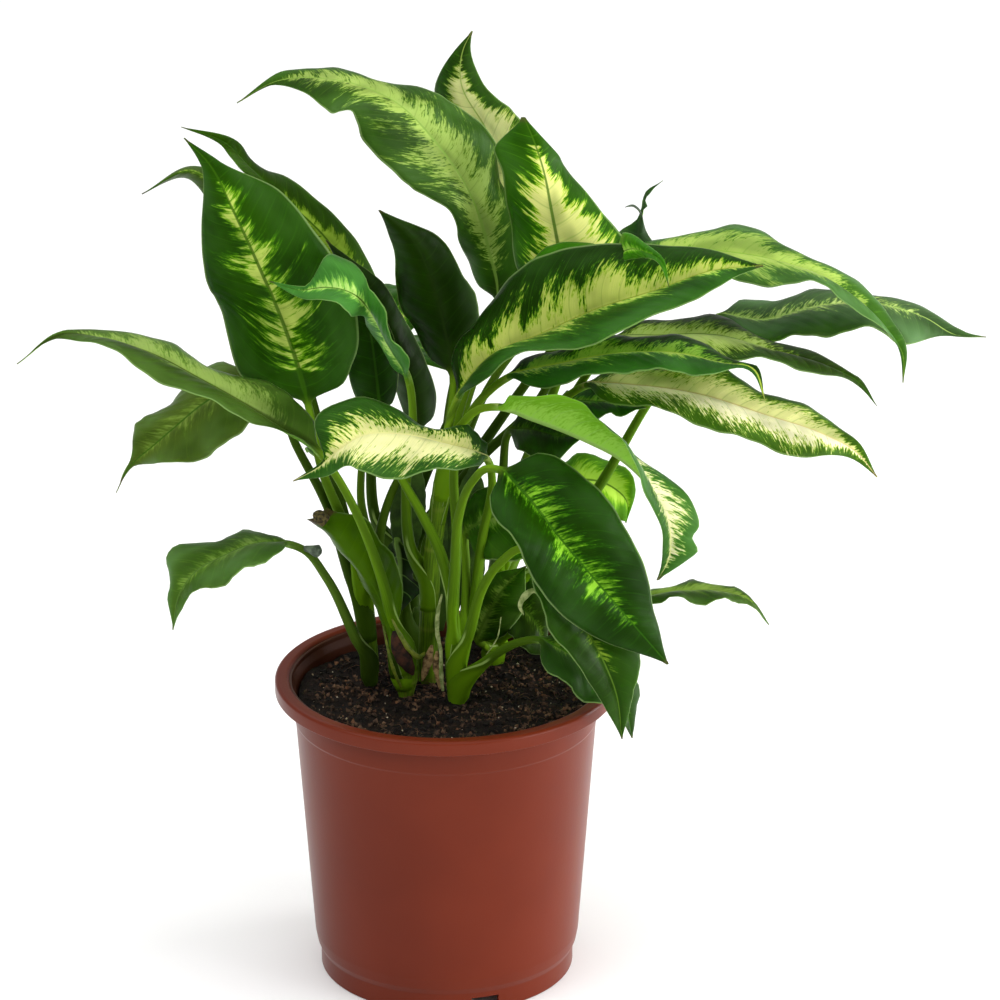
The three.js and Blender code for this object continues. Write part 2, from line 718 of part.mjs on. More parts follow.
function geometryOf(solid) {
  const mesh = solid.getMesh();
  const positions = new Float32Array(mesh.numVert * 3);
  for (let i = 0; i < mesh.numVert; i++) {
    const first = i * mesh.numProp;
    positions.set(mesh.vertProperties.subarray(first, first + 3), i * 3);
  }
  return new THREE.BufferGeometry()
    .setAttribute("position", new THREE.BufferAttribute(positions, 3))
    .setIndex(new THREE.BufferAttribute(mesh.triVerts, 1));
}

const largestPiece = (solid) =>
  solid.decompose().reduce((a, b) => (b.volume() > a.volume() ? b : a));

const plant = new THREE.Group();

function addMesh(name, geometry, material) {
  geometry.computeVertexNormals();
  const mesh = new THREE.Mesh(geometry, material);
  mesh.name = name;
  plant.add(mesh);
}

// ---- curves ------------------------------------------------------------------------------------
// A smooth curve through vectors at the given knots, evaluated at x.
function curveAt(knots, values, x) {
  const last = knots.length - 1;
  if (last === 0) return values[0].clone();
  const at = Math.min(Math.max(x, knots[0]), knots[last]);
  let i = 0;
  while (i < last - 1 && at >= knots[i + 1]) i++;
  const slope = (j) =>
    values[j + 1].clone().sub(values[j]).divideScalar(knots[j + 1] - knots[j]);
  const tangent = (j) => {
    if (j === 0) return slope(0);
    if (j === last) return slope(last - 1);
    const before = knots[j] - knots[j - 1];
    const after = knots[j + 1] - knots[j];
    return slope(j - 1)
      .multiplyScalar(after)
      .addScaledVector(slope(j), before)
      .divideScalar(before + after);
  };
  const span = knots[i + 1] - knots[i];
  const t = (at - knots[i]) / span;
  return values[i]
    .clone()
    .multiplyScalar(2 * t ** 3 - 3 * t ** 2 + 1)
    .addScaledVector(tangent(i), (t ** 3 - 2 * t ** 2 + t) * span)
    .addScaledVector(values[i + 1], 3 * t ** 2 - 2 * t ** 3)
    .addScaledVector(tangent(i + 1), (t ** 3 - t ** 2) * span);
}

function ease(x, from, to) {
  const t = Math.min(Math.max((x - from) / (to - from), 0), 1);
  return t * t * (3 - 2 * t);
}

// ---- points as seen from the front -------------------------------------------------------------
const sight = new THREE.Vector3(0, Math.cos(SIGHT_PITCH), -Math.sin(SIGHT_PITCH));
const sightUp = new THREE.Vector3(0, Math.sin(SIGHT_PITCH), Math.cos(SIGHT_PITCH));

const rayTo = (across, up) =>
  sight
    .clone()
    .multiplyScalar(PLANE)
    .addScaledVector(sightUp, up - SIGHT_UP)
    .add(new THREE.Vector3(across - SIGHT_ACROSS, 0, 0));

function placed([across, up, back]) {
  const ray = rayTo(across, up);
  return EYE.clone().addScaledVector(ray, (back - EYE.y) / ray.y);
}

// The vector from a midrib point to the leaf's edge. The edge is seen at [across, up]; lean is the
// share of the real half width that leans out of the picture plane towards the eye.
function edgeVector(middle, [across, up, lean], halfWidth) {
  const distance = middle.clone().sub(EYE).dot(sight);
  const flat = EYE.clone().addScaledVector(rayTo(across, up), distance / PLANE);
  const seen = flat.distanceTo(middle);
  const depth = lean * Math.sqrt(Math.max(halfWidth ** 2 - seen ** 2, 0));
  return EYE.clone()
    .addScaledVector(flat.sub(EYE), 1 - depth / distance)
    .sub(middle);
}

// ---- one leaf ----------------------------------------------------------------------------------
// The share of the half width at a share s of the blade's length.
function leafOutline(s, shape) {
  if (shape === "sheath")
    return Math.min(s / 0.25, 1) ** 0.6 * (1 - 0.45 * ease(s, 0.8, 1));
  return 2.68 * s ** 0.55 * (1 - s) ** 0.95 * (1 - 0.3 * ease(s, 0.82, 1));
}

function leafGeometry(leaf, grown = 0) {
  const path = [...leaf.stalk, ...leaf.blade].map((row) => placed(row.slice(0, 3)));
  const knots = path.map(() => 0);
  for (let i = 1; i < path.length; i++)
    knots[i] = knots[i - 1] + path[i].distanceTo(path[i - 1]);
  const base = knots[leaf.stalk.length];
  const end = knots[knots.length - 1];

  const ribs = { at: [], left: [], right: [] };
  leaf.blade.forEach((row, i) => {
    if (row.length === 3) return;
    const j = leaf.stalk.length + i;
    const s = (knots[j] - base) / (end - base);
    const share = leafOutline(s, leaf.shape);
    const side = (edge) =>
      edgeVector(path[j], edge, leaf.half * share).divideScalar(share);
    ribs.at.push(s);
    ribs.left.push(side(row.slice(3, 6)));
    ribs.right.push(side(row.slice(6, 9)));
  });

  const stalkSteps = Math.max(2, Math.round(base / STALK_STEP));
  const bladeSteps = THREE.MathUtils.clamp(
    Math.round((end - base) / BLADE_STEP),
    leaf.fewestSteps,
    MOST_BLADE_STEPS,
  );
  const shares = [];
  for (let k = 0; k < stalkSteps; k++)
    shares.push((-base / (end - base)) * (1 - k / stalkSteps));
  shares.push(0, FIRST_STRIP / bladeSteps);
  for (let k = 1; k <= bladeSteps; k++) shares.push(k / bladeSteps);

  const halfAcross = (COLUMNS.length - 1) / 2;
  const stations = shares.map((s) => {
    const knot = base + s * (end - base);
    const reach = 0.01 * end;
    const middle = curveAt(knots, path, knot);
    const along = curveAt(knots, path, knot + reach)
      .sub(curveAt(knots, path, knot - reach))
      .normalize();
    const onBlade = Math.max(s, 0);
    const share = Math.max(leafOutline(onBlade, leaf.shape), TIP_SHARE);
    const left = curveAt(ribs.at, ribs.left, onBlade).multiplyScalar(share);
    const right = curveAt(ribs.at, ribs.right, onBlade).multiplyScalar(share);
    const across = right.clone().sub(left).normalize();
    return { s, middle, along, left, right, across, share };
  });
  // On the stalk the direction across is carried back from the blade's base.
  for (let k = stalkSteps - 1; k >= 0; k--) {
    const station = stations[k];
    const carried = stations[k + 1].across.clone();
    carried.addScaledVector(station.along, -carried.dot(station.along));
    station.across = carried.normalize();
  }
  for (const station of stations)
    station.face = station.across.clone().cross(station.along).normalize();

  // The blade's middle surface: each half arches between midrib and edge, and its edge is waved.
  const surface = stations.map(({ s, middle, left, right, face, share }) =>
    COLUMNS.map((w) => {
      const edge = w < 0 ? left : right;
      const width = edge.length();
      const out = Math.abs(w);
      const phase = leaf.phase + (w < 0 ? 0 : RIGHT_EDGE_PHASE);
      const ripple = Math.sin(2 * Math.PI * leaf.waves * Math.max(s, 0) + phase);
      const lift =
        leaf.arch * width * 4 * out * (1 - out) +
        leaf.wave * Math.min(share, 1) * out ** 2 * ripple;
      return middle
        .clone()
        .addScaledVector(edge, out * (1 + grown / Math.max(width, 1)))
        .addScaledVector(face, lift);
    }),
  );
  const normalAt = (k, c) => {
    const before = surface[Math.max(k - 1, 0)][c];
    const after = surface[Math.min(k + 1, stations.length - 1)][c];
    const lengthwise = after.clone().sub(before);
    const crosswise = surface[k][Math.min(c + 1, COLUMNS.length - 1)]
      .clone()
      .sub(surface[k][Math.max(c - 1, 0)]);
    return crosswise.cross(lengthwise).normalize();
  };

  const positions = [];
  const half = BLADE_THICKNESS / 2 + grown;
  stations.forEach((station, k) => {
    const { s, middle, across, face } = station;
    const toBlade = ease(s, 0, STALK_BLEND);
    const down = Math.min(Math.max(-s / (base / (end - base) || 1), 0), 1);
    const radius =
      grown + THREE.MathUtils.lerp(leaf.stalkTop, leaf.stalkFoot, down ** 1.5);
    const ridge = RIB_HEIGHT * leaf.stalkTop * (1 - Math.max(s, 0));
    const ring = (side) =>
      COLUMNS.map((w, c) => {
        const turn = (Math.PI * (c + 0.5)) / COLUMNS.length;
        const round = middle
          .clone()
          .addScaledVector(across, -radius * Math.cos(turn))
          .addScaledVector(face, side * radius * Math.sin(turn));
        const low = side < 0 && c === halfAcross ? ridge : 0;
        const flat = surface[k][c]
          .clone()
          .addScaledVector(normalAt(k, c), side * half - low);
        return round.lerp(flat, toBlade);
      });
    for (const point of [...ring(1), ...ring(-1)]) positions.push(...point.toArray());
  });

  // Both faces of the blade are split along the same diagonals.
  const count = COLUMNS.length;
  const top = (k, c) => k * 2 * count + c;
  const under = (k, c) => top(k, c) + count;
  const faces = [];
  const last = stations.length - 1;
  for (let k = 0; k < last; k++) {
    for (let c = 0; c < count - 1; c++) {
      faces.push(top(k, c), top(k, c + 1), top(k + 1, c + 1));
      faces.push(top(k, c), top(k + 1, c + 1), top(k + 1, c));
      faces.push(under(k, c), under(k + 1, c + 1), under(k, c + 1));
      faces.push(under(k, c), under(k + 1, c), under(k + 1, c + 1));
    }
    const c = count - 1;
    faces.push(top(k, 0), top(k + 1, 0), under(k + 1, 0));
    faces.push(top(k, 0), under(k + 1, 0), under(k, 0));
    faces.push(top(k, c), under(k + 1, c), top(k + 1, c));
    faces.push(top(k, c), under(k, c), under(k + 1, c));
  }
  for (let c = 0; c < count - 1; c++) {
    faces.push(top(0, c), under(0, c + 1), top(0, c + 1));
    faces.push(top(0, c), under(0, c), under(0, c + 1));
    faces.push(top(last, c), top(last, c + 1), under(last, c + 1));
    faces.push(top(last, c), under(last, c + 1), under(last, c));
  }
  return new THREE.BufferGeometry()
    .setAttribute("position", new THREE.Float32BufferAttribute(positions, 3))
    .setIndex(faces);
}

// ---- pot ---------------------------------------------------------------------------------------
function potGeometry() {
  const lipBottom = POT_HEIGHT - LIP_HEIGHT;
  const inner = (radius) => radius - WALL;
  // Outside from the base up, over the lip, and down the inside.
  const profile = [
    [0, 0],
    [BOSS_RADIUS, 0],
    [BOSS_RADIUS, FLOOR_BOTTOM],
    [FOOT_RADIUS - FOOT_LIP - FOOT_DRAFT, FLOOR_BOTTOM],
    [FOOT_RADIUS - FOOT_LIP, 0],
    [FOOT_RADIUS, 0],
    [FOOT_RADIUS, FOOT_HEIGHT],
    [FOOT_RADIUS + FOOT_LIP, FOOT_HEIGHT + FOOT_FLARE],
    [WALL_FOOT_RADIUS, CORNER_HEIGHT],
    [WALL_STEP_RADIUS, STEP_HEIGHT - STEP_FLARE],
    [WALL_STEP_RADIUS + STEP_DEPTH, STEP_HEIGHT],
    [WALL_TOP_RADIUS, lipBottom],
    [WALL_TOP_RADIUS + STEP_DEPTH, POT_HEIGHT - WALL],
    [RIM_RADIUS - WALL, POT_HEIGHT - WALL],
    [RIM_RADIUS - WALL, lipBottom],
    [RIM_RADIUS, lipBottom],
    [RIM_RADIUS, POT_HEIGHT - RIM_CHAMFER],
    [RIM_RADIUS - RIM_CHAMFER, POT_HEIGHT],
    [MOUTH_RADIUS + RIM_CHAMFER, POT_HEIGHT],
    [MOUTH_RADIUS, POT_HEIGHT - RIM_CHAMFER],
    [inner(WALL_TOP_RADIUS), lipBottom],
    [inner(WALL_STEP_RADIUS), STEP_HEIGHT],
    [inner(WALL_FOOT_RADIUS), CORNER_HEIGHT],
    [inner(FOOT_RADIUS), FLOOR_TOP],
    [0, FLOOR_TOP],
  ];
  const turned = new THREE.LatheGeometry(
    profile.map(([x, y]) => new THREE.Vector2(x, y)),
    POT_SIDES,
  ).rotateX(Math.PI / 2);
  let pot = solidOf(turned);
  if (pot.volume() < 0) throw new Error("the pot's profile runs the wrong way round");
  for (const degrees of NOTCH_ANGLES) {
    const notch = new THREE.BoxGeometry(NOTCH_WIDTH, 4 * FOOT_LIP + WALL, 2 * NOTCH_HEIGHT);
    notch.translate(0, -FOOT_RADIUS, 0);
    notch.rotateZ(THREE.MathUtils.degToRad(degrees));
    pot = pot.subtract(solidOf(notch));
  }
  for (let i = 0; i < DRAIN_HOLES; i++) {
    const length = 2 * FLOOR_BOTTOM;
    const hole = new THREE.CylinderGeometry(DRAIN_RADIUS, DRAIN_RADIUS, length, DRAIN_SIDES);
    hole.rotateX(Math.PI / 2);
    hole.translate(DRAIN_CIRCLE, 0, FLOOR_BOTTOM);
    hole.rotateZ((2 * Math.PI * (i + 0.5)) / DRAIN_HOLES);
    pot = pot.subtract(solidOf(hole));
  }
  return geometryOf(largestPiece(pot));
}

// ---- canes: short upright stems, each a tapered tube through hand-set points -------------------
function caneGeometry(cane, grown = 0) {
  const points = cane.points.map((p) => new THREE.Vector3(...p));
  const knots = points.map((p) => p.z);
  const positions = [];
  const faces = [];
  for (let k = 0; k <= CANE_STEPS; k++) {
    const share = k / CANE_STEPS;
    const z = THREE.MathUtils.lerp(knots[0], knots[knots.length - 1], share);
    const middle = curveAt(knots, points, z);
    const radius = grown + THREE.MathUtils.lerp(cane.foot, cane.top, share);
    if (k === 0) middle.z -= grown;
    if (k === CANE_STEPS) middle.z += grown;
    for (let i = 0; i < CANE_SIDES; i++) {
      const turn = (2 * Math.PI * i) / CANE_SIDES;
      positions.push(
        middle.x + radius * Math.cos(turn),
        middle.y + radius * Math.sin(turn),
        middle.z,
      );
      const next = (i + 1) % CANE_SIDES;
      const a = k * CANE_SIDES + i;
      const b = k * CANE_SIDES + next;
      if (k === CANE_STEPS) continue;
      faces.push(a, b, b + CANE_SIDES, a, b + CANE_SIDES, a + CANE_SIDES);
    }
  }
  for (let i = 1; i < CANE_SIDES - 1; i++) {
    const top = CANE_STEPS * CANE_SIDES;
    faces.push(0, i + 1, i, top, top + i, top + i + 1);
  }
  return new THREE.BufferGeometry()
    .setAttribute("position", new THREE.Float32BufferAttribute(positions, 3))
    .setIndex(faces);
}

// ---- soil --------------------------------------------------------------------------------------
function soilGeometry(canes) {
  const clear = WALL + 2 * GAP;
  const bump = (x, y) =>
    SOIL_ROUGHNESS *
    (Math.sin(x / SOIL_WAVE + 1) * Math.cos(y / SOIL_WAVE) +
      SOIL_FINE_SHARE * Math.sin((x - y) / SOIL_FINE_WAVE));
  const positions = [];
  const faces = [];
  const rings = [
    ...[0.25, 0.5, 0.75, 1].map((share) => [share * (WALL_STEP_RADIUS - clear), null]),
    [WALL_FOOT_RADIUS - clear, CORNER_HEIGHT],
    [FOOT_RADIUS - FOOT_LIP - clear, SOIL_BOTTOM],
  ];
  positions.push(0, 0, SOIL_LEVEL + bump(0, 0));
  rings.forEach(([radius, fixed], ring) => {
    for (let i = 0; i < SOIL_SIDES; i++) {
      const turn = (2 * Math.PI * i) / SOIL_SIDES;
      const x = radius * Math.cos(turn);
      const y = radius * Math.sin(turn);
      const z = fixed ?? SOIL_LEVEL + bump(x, y);
      positions.push(x, y, z);
      const a = 1 + ring * SOIL_SIDES + i;
      const b = 1 + ring * SOIL_SIDES + ((i + 1) % SOIL_SIDES);
      if (ring === 0) faces.push(0, a, b);
      else {
        const up = SOIL_SIDES;
        faces.push(a - up, a, b, a - up, b, b - up);
      }
    }
  });
  const centre = positions.length / 3;
  positions.push(0, 0, SOIL_BOTTOM);
  const foot = 1 + (rings.length - 1) * SOIL_SIDES;
  for (let i = 0; i < SOIL_SIDES; i++)
    faces.push(centre, foot + ((i + 1) % SOIL_SIDES), foot + i);
  let soil = solidOf(
    new THREE.BufferGeometry()
      .setAttribute("position", new THREE.Float32BufferAttribute(positions, 3))
      .setIndex(faces),
  );
  for (const cane of canes) soil = soil.subtract(solidOf(caneGeometry(cane, GAP)));
  return geometryOf(largestPiece(soil));
}

// ---- the whole plant ---------------------------------------------------------------------------
addMesh("pot", potGeometry(), TERRACOTTA);
addMesh("soil", soilGeometry(CANES), PEAT);
for (const cane of CANES) addMesh(cane.name, caneGeometry(cane), STEM_GREEN);

// Where stalks leave a cane they wrap it and each other: a leaf is cut back by the canes and by the
// stalks that lie inside it, with a small clearance.
const grownCanes = CANES.map((cane) => solidOf(caneGeometry(cane, GAP)));
const inside = new Map();
for (const row of LEAVES) {
  const leaf = { ...LEAF_DEFAULTS, ...row };
  let solid = solidOf(leafGeometry(leaf));
  for (const cane of grownCanes) solid = solid.subtract(cane);
  const wrapped = inside.get(leaf.cane) ?? [];
  for (const other of wrapped) solid = solid.subtract(other);
  addMesh(leaf.name, geometryOf(largestPiece(solid)), LEAF_GREEN);
  inside.set(leaf.cane, [...wrapped, solidOf(leafGeometry(leaf, GAP))]);
}

export default plant;
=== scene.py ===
"""The looks of a potted dieffenbachia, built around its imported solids: a terracotta-coloured nursery pot,
crumbly soil, six canes and one finely meshed, variegated leaf for each leaf solid. Leaf points and pot
sizes are in millimetres, as in the solids' source, and every mesh is turned into metres."""

import math

import bpy
import numpy as np
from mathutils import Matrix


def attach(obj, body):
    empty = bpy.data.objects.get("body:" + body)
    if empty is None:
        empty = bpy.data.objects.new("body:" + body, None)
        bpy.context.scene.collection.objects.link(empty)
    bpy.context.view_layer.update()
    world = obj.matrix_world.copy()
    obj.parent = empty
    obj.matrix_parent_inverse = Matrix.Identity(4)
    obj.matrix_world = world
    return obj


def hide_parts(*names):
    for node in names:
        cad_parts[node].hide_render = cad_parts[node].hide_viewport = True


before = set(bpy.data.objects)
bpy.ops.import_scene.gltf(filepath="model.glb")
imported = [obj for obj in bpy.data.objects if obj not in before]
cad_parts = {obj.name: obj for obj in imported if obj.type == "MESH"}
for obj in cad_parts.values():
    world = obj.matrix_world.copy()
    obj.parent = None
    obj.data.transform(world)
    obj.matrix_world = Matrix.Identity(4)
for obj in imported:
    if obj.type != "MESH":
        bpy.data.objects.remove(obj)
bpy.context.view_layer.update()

MM = 0.001
SEED = 7

# ---- driving dimensions, millimetres ---------------------------------------------------------------
POT_HEIGHT = 156
RIM_RADIUS = 85.2
MOUTH_RADIUS = 78
LIP_HEIGHT = 7.5
WALL_TOP_RADIUS = 76.2
WALL_STEP_RADIUS = 75.2
STEP_HEIGHT = 135
STEP_DEPTH = 0.6
STEP_FLARE = 1
RIM_CHAMFER = 1.2
CORNER_ROUNDING = 0.7
WALL_FOOT_RADIUS = 66.8
CORNER_HEIGHT = 19
FOOT_RADIUS = 64
FOOT_HEIGHT = 10
FOOT_LIP = 1.8
FOOT_DRAFT = 0.7
FOOT_FLARE = 3.5
WALL = 1.6
FLOOR_BOTTOM = 7.5
FLOOR_TOP = 9.5
BOSS_RADIUS = 12
NOTCH_WIDTH = 14
NOTCH_HEIGHT = 7.4
NOTCH_ANGLES = (18, 108, 198)
DRAIN_HOLES = 6
DRAIN_RADIUS = 5
DRAIN_CIRCLE = 42
DRAIN_SIDES = 24
POT_SIDES = 192
SHARP_ANGLE = 40  # degrees; flatter edges of the pot are shaded smooth

SOIL_LEVEL = 146.5
SOIL_GAP = 1.2  # between the soil and the pot's wall
SOIL_SKIRT = 14
SOIL_RINGS = 76
SOIL_SIDES = 200
SOIL_SWELLS = ((22, 1.3), (9, 1.0), (4, 0.7), (2.1, 0.45))  # width and height of its lumps
NOISE_CELLS = 64
FIBRES = 130
FIBRE_STEP = 1.7
FIBRE_ARC = 1.6

BLADE_THICKNESS = 0.6
BLADE_EDGE = 0.55  # share of the thickness that is lost towards the edge
HALF_COLUMNS = 9  # columns of vertices on each side of the midrib
STATION = 2.4  # length of a strip of a blade
STALK_STATION = 1.4 * STATION
CROWDING = 1.04  # above 1, strips get shorter towards the base of the blade
RIB_COLUMN = 1.3  # distance from the midrib to the first column
FINE_WAVE = 0.35
RIGHT_PHASE = 2.1  # by which the waves of the right edge are ahead of those of the left

CANE_DOME = 6
CANE_STEPS = 90
CANE_SIDES = 40
CANE_RING = 0.8  # half the width of a ring round a cane
FIRST_RING = (6, 12)
RING_GAP = (14, 26)
CANE_LUMPS = 0.03
SHEATH_DROP = 11  # how far a sheath reaches down its cane below the foot of its stalk
SHEATH_LEAN = 0.5
SHEATH_SPREAD = 2.6  # half the turn of a sheath round its cane, radians
SHEATH_THICKNESS = 0.7
SHEATH_LAYER = 0.16  # each sheath lies this much over the next one inwards
SHEATH_BULGE = 0.55
TUBE_SIDES = 14
TUBE_STEP = 0.8

# The leaves are set out as they are seen from the front: across and up in a picture plane PLANE away
# from EYE, and back as the depth behind the pot's axis.
EYE = np.array([27.0, -2068.0, 1030.0])
SIGHT_PITCH = math.radians(20.7)
PLANE = 2250
SIGHT_ACROSS = 27
SIGHT_UP = 227.5
LENS = 162
SENSOR = 36

FLOOR_SIZE = 20000
FLOOR_LEVEL = -0.2
FLOOR_TONES = ((0.93, 0.93, 0.93, 1), (0.95, 0.95, 0.95, 1))
WORLD_STRENGTH = 0.42
# Each lamp: its place, what it points at, its width and height in metres, and its power.
LAMPS = {
    "ceiling": ((0, 0, 3.2), (0, 0, 0), 8.0, 8.0, 232),
    "key": ((1.5, -0.7, 0.45), (0.02, 0, 0.28), 0.9, 0.9, 19),
    "right_sheen": ((1.3, 0.35, 0.3), (0, 0, 0.1), 0.5, 0.9, 13),
    "left_fill": ((-1.2, -0.9, 1.3), (0.02, 0, 0.28), 0.9, 0.9, 5),
}

# Each cane stands in its own hole in the soil: the radii at its foot and top, how much of them its own
# surface keeps, how much of that is left at the soil, and points from its foot to its top.
CANES = [
    dict(name="cane_left", foot=6.5, top=5.2, slim=0.8, waist=0.66,
         points=[[-37, 11, 100], [-38, 12, 150], [-40, 14, 180], [-42, 15, 205]]),
    dict(name="cane_middle_left", foot=9, top=7.8, slim=0.9, waist=0.5,
         points=[[-20, -4, 100], [-20, -4, 150], [-22, -4, 172]]),
    dict(name="cane_middle", foot=6.8, top=5, slim=0.8, waist=0.9,
         points=[[-10, 17, 100], [-9, 15, 160], [-6, 10, 220], [0, 4, 264]]),
    dict(name="cane_middle_right", foot=7, top=6.4, slim=0.62, waist=0.9,
         points=[[5, -11, 100], [5, -11, 150], [4, -13, 178]]),
    dict(name="cane_right", foot=6.5, top=5, slim=0.85, waist=1,
         points=[[24, 42, 100], [24, 42, 160], [27, 44, 205], [29, 46, 225]]),
    dict(name="cane_back", foot=6.5, top=5, slim=0.9, waist=1,
         points=[[-18, 48, 100], [-19, 50, 170], [-20, 53, 225]]),
]

# Colours are given as they look on a screen.
# The grey-green of a painted sheen near the edges of the leaves.
PAINTED_SHEEN_TONE = (98, 134, 88)
THIN_EDGE = (148, 178, 112)
DRIED_TIP = (74, 60, 38)
UNDER_VEIN = (140, 180, 90)
UNDER_RIB = (146, 182, 96)
# The tone towards which the sides of every stalk are darkened: painted shade.
PAINTED_STALK_SHADE = (34, 56, 8)
SHEATH_HEM = (150, 178, 96)
# Name, dark and light tone, roughness, and for some the fineness and the patchiness.
SMALL_FINISHES = {
    "dried": ("dried_sheath", (78, 58, 34), (176, 146, 98), 0.8),
    "faded": ("faded_sheath", (104, 122, 60), (168, 178, 118), 0.7),
    "wilted": ("wilted_sheath", (54, 66, 52), (98, 112, 92), 0.6),
    "ridge": ("green_ridge", (72, 92, 14), (112, 122, 32), 0.5),
    "hollow": ("brown_hollow", (24, 12, 6), (70, 38, 20), 0.8),
    # The finish of the dark blades among the stalks, whose darkness is painted shade.
    "shade": ("painted_shade_blade", (34, 58, 8), (66, 98, 22), 0.6, 90.0),
    "crust": ("crusty_end", (30, 26, 14), (104, 92, 50), 0.8, 700.0),
}
FIBRE_FINISH = ("fibres", (44, 29, 20), (112, 80, 56), 0.85)
# How many lumps lie on the soil, their smallest and largest size, and their finish.
LUMPS = {
    "soil_crumbs": (1900, 0.6, 2.3, ("crumbs", (16, 11, 8), (112, 84, 64), 0.95, 300.0, 1.0)),
    "soil_bark": (170, 0.8, 2.4, ("bark", (50, 30, 20), (124, 86, 60), 0.9, 300.0, 0.8)),
    "soil_pale": (110, 0.4, 1.0, ("pale_crumbs", (150, 132, 104), (205, 192, 168), 0.9)),
}

# The pattern of a leaf follows its side veins, which leave the midrib forwards and bend towards the tip,
# two VEIN_GAPs apart. A grain of the pattern has its fineness along and across, a shift and its detail.
VEIN_START = 0.45
VEIN_BEND = 0.012
VEIN_GAP = 4.4
LEAF_GRAINS = (
    (0.075, 0.03, 11.0, 2.0),
    (0.4, 0.055, 0.0, 3.0),
    (1.0, 0.28, 5.0, 4.0),
    (2.2, 0.06, 23.0, 2.0),
)
# Four colours of a face: the margin, the green next to it, the feathered border of the pale middle, and
# that middle. They stand at these values of the pattern.
TONE_STOPS = (0.3, 0.43, 0.53, 0.66)
DEEP = ((24, 48, 4), (42, 84, 8), (94, 148, 26), (138, 178, 60))
GREEN = ((32, 66, 6), (56, 108, 12), (112, 164, 34), (160, 196, 76))
OLIVE = ((60, 86, 20), (88, 120, 32), (122, 152, 50), (148, 174, 76))
SEA = ((44, 92, 26), (66, 126, 38), (134, 184, 58), (196, 216, 104))

# What a leaf has unless its row says otherwise. The first ones shape it. Of the looks, colours is for the
# whole face, or for its left half where a row has right too. pale is the share of each half, left and
# right, that is pale between the two shares of the length in span. patches, streaks and flecks roughen
# its border and spread softens it, veil is how much painted grey sheen lies near the edge, and dry a
# dried tip.
LEAF_DEFAULTS = dict(
    shape="leaf", arch=0.1, wave=2.2, waves=3.2, phase=0.5, roll=0, stalk_top=1.9, stalk_foot=3.6, sheath=26,
    colours=GREEN, pale=(0.14, 0.14), span=(0.0, 0.85), patches=0.8, streaks=0.9, flecks=0.8, spread=1.0,
    rib=(52, 92, 18), rib_wide=1.0, painted_sheen=0.08, dry=0.6, dry_from=0.965,
    under=(86, 128, 42), under_pale=(140, 174, 80),
    stalk_tone=(108, 146, 26), stalk_low=(64, 100, 8), sheath_tone=(96, 136, 10)
)
# Darker stalk, stalk foot and sheath tones for stalks that stand in the shade of others: painted shade.
STALKS_IN_PAINTED_SHADE = dict(stalk_tone=(70, 98, 16), stalk_low=(40, 62, 6), sheath_tone=(56, 84, 8))
BACK = dict(
    colours=((36, 72, 8), (66, 118, 18), (156, 188, 66), (200, 210, 120)), pale=(0.36, 0.32),
    span=(0.0, 0.9), **STALKS_IN_PAINTED_SHADE
)

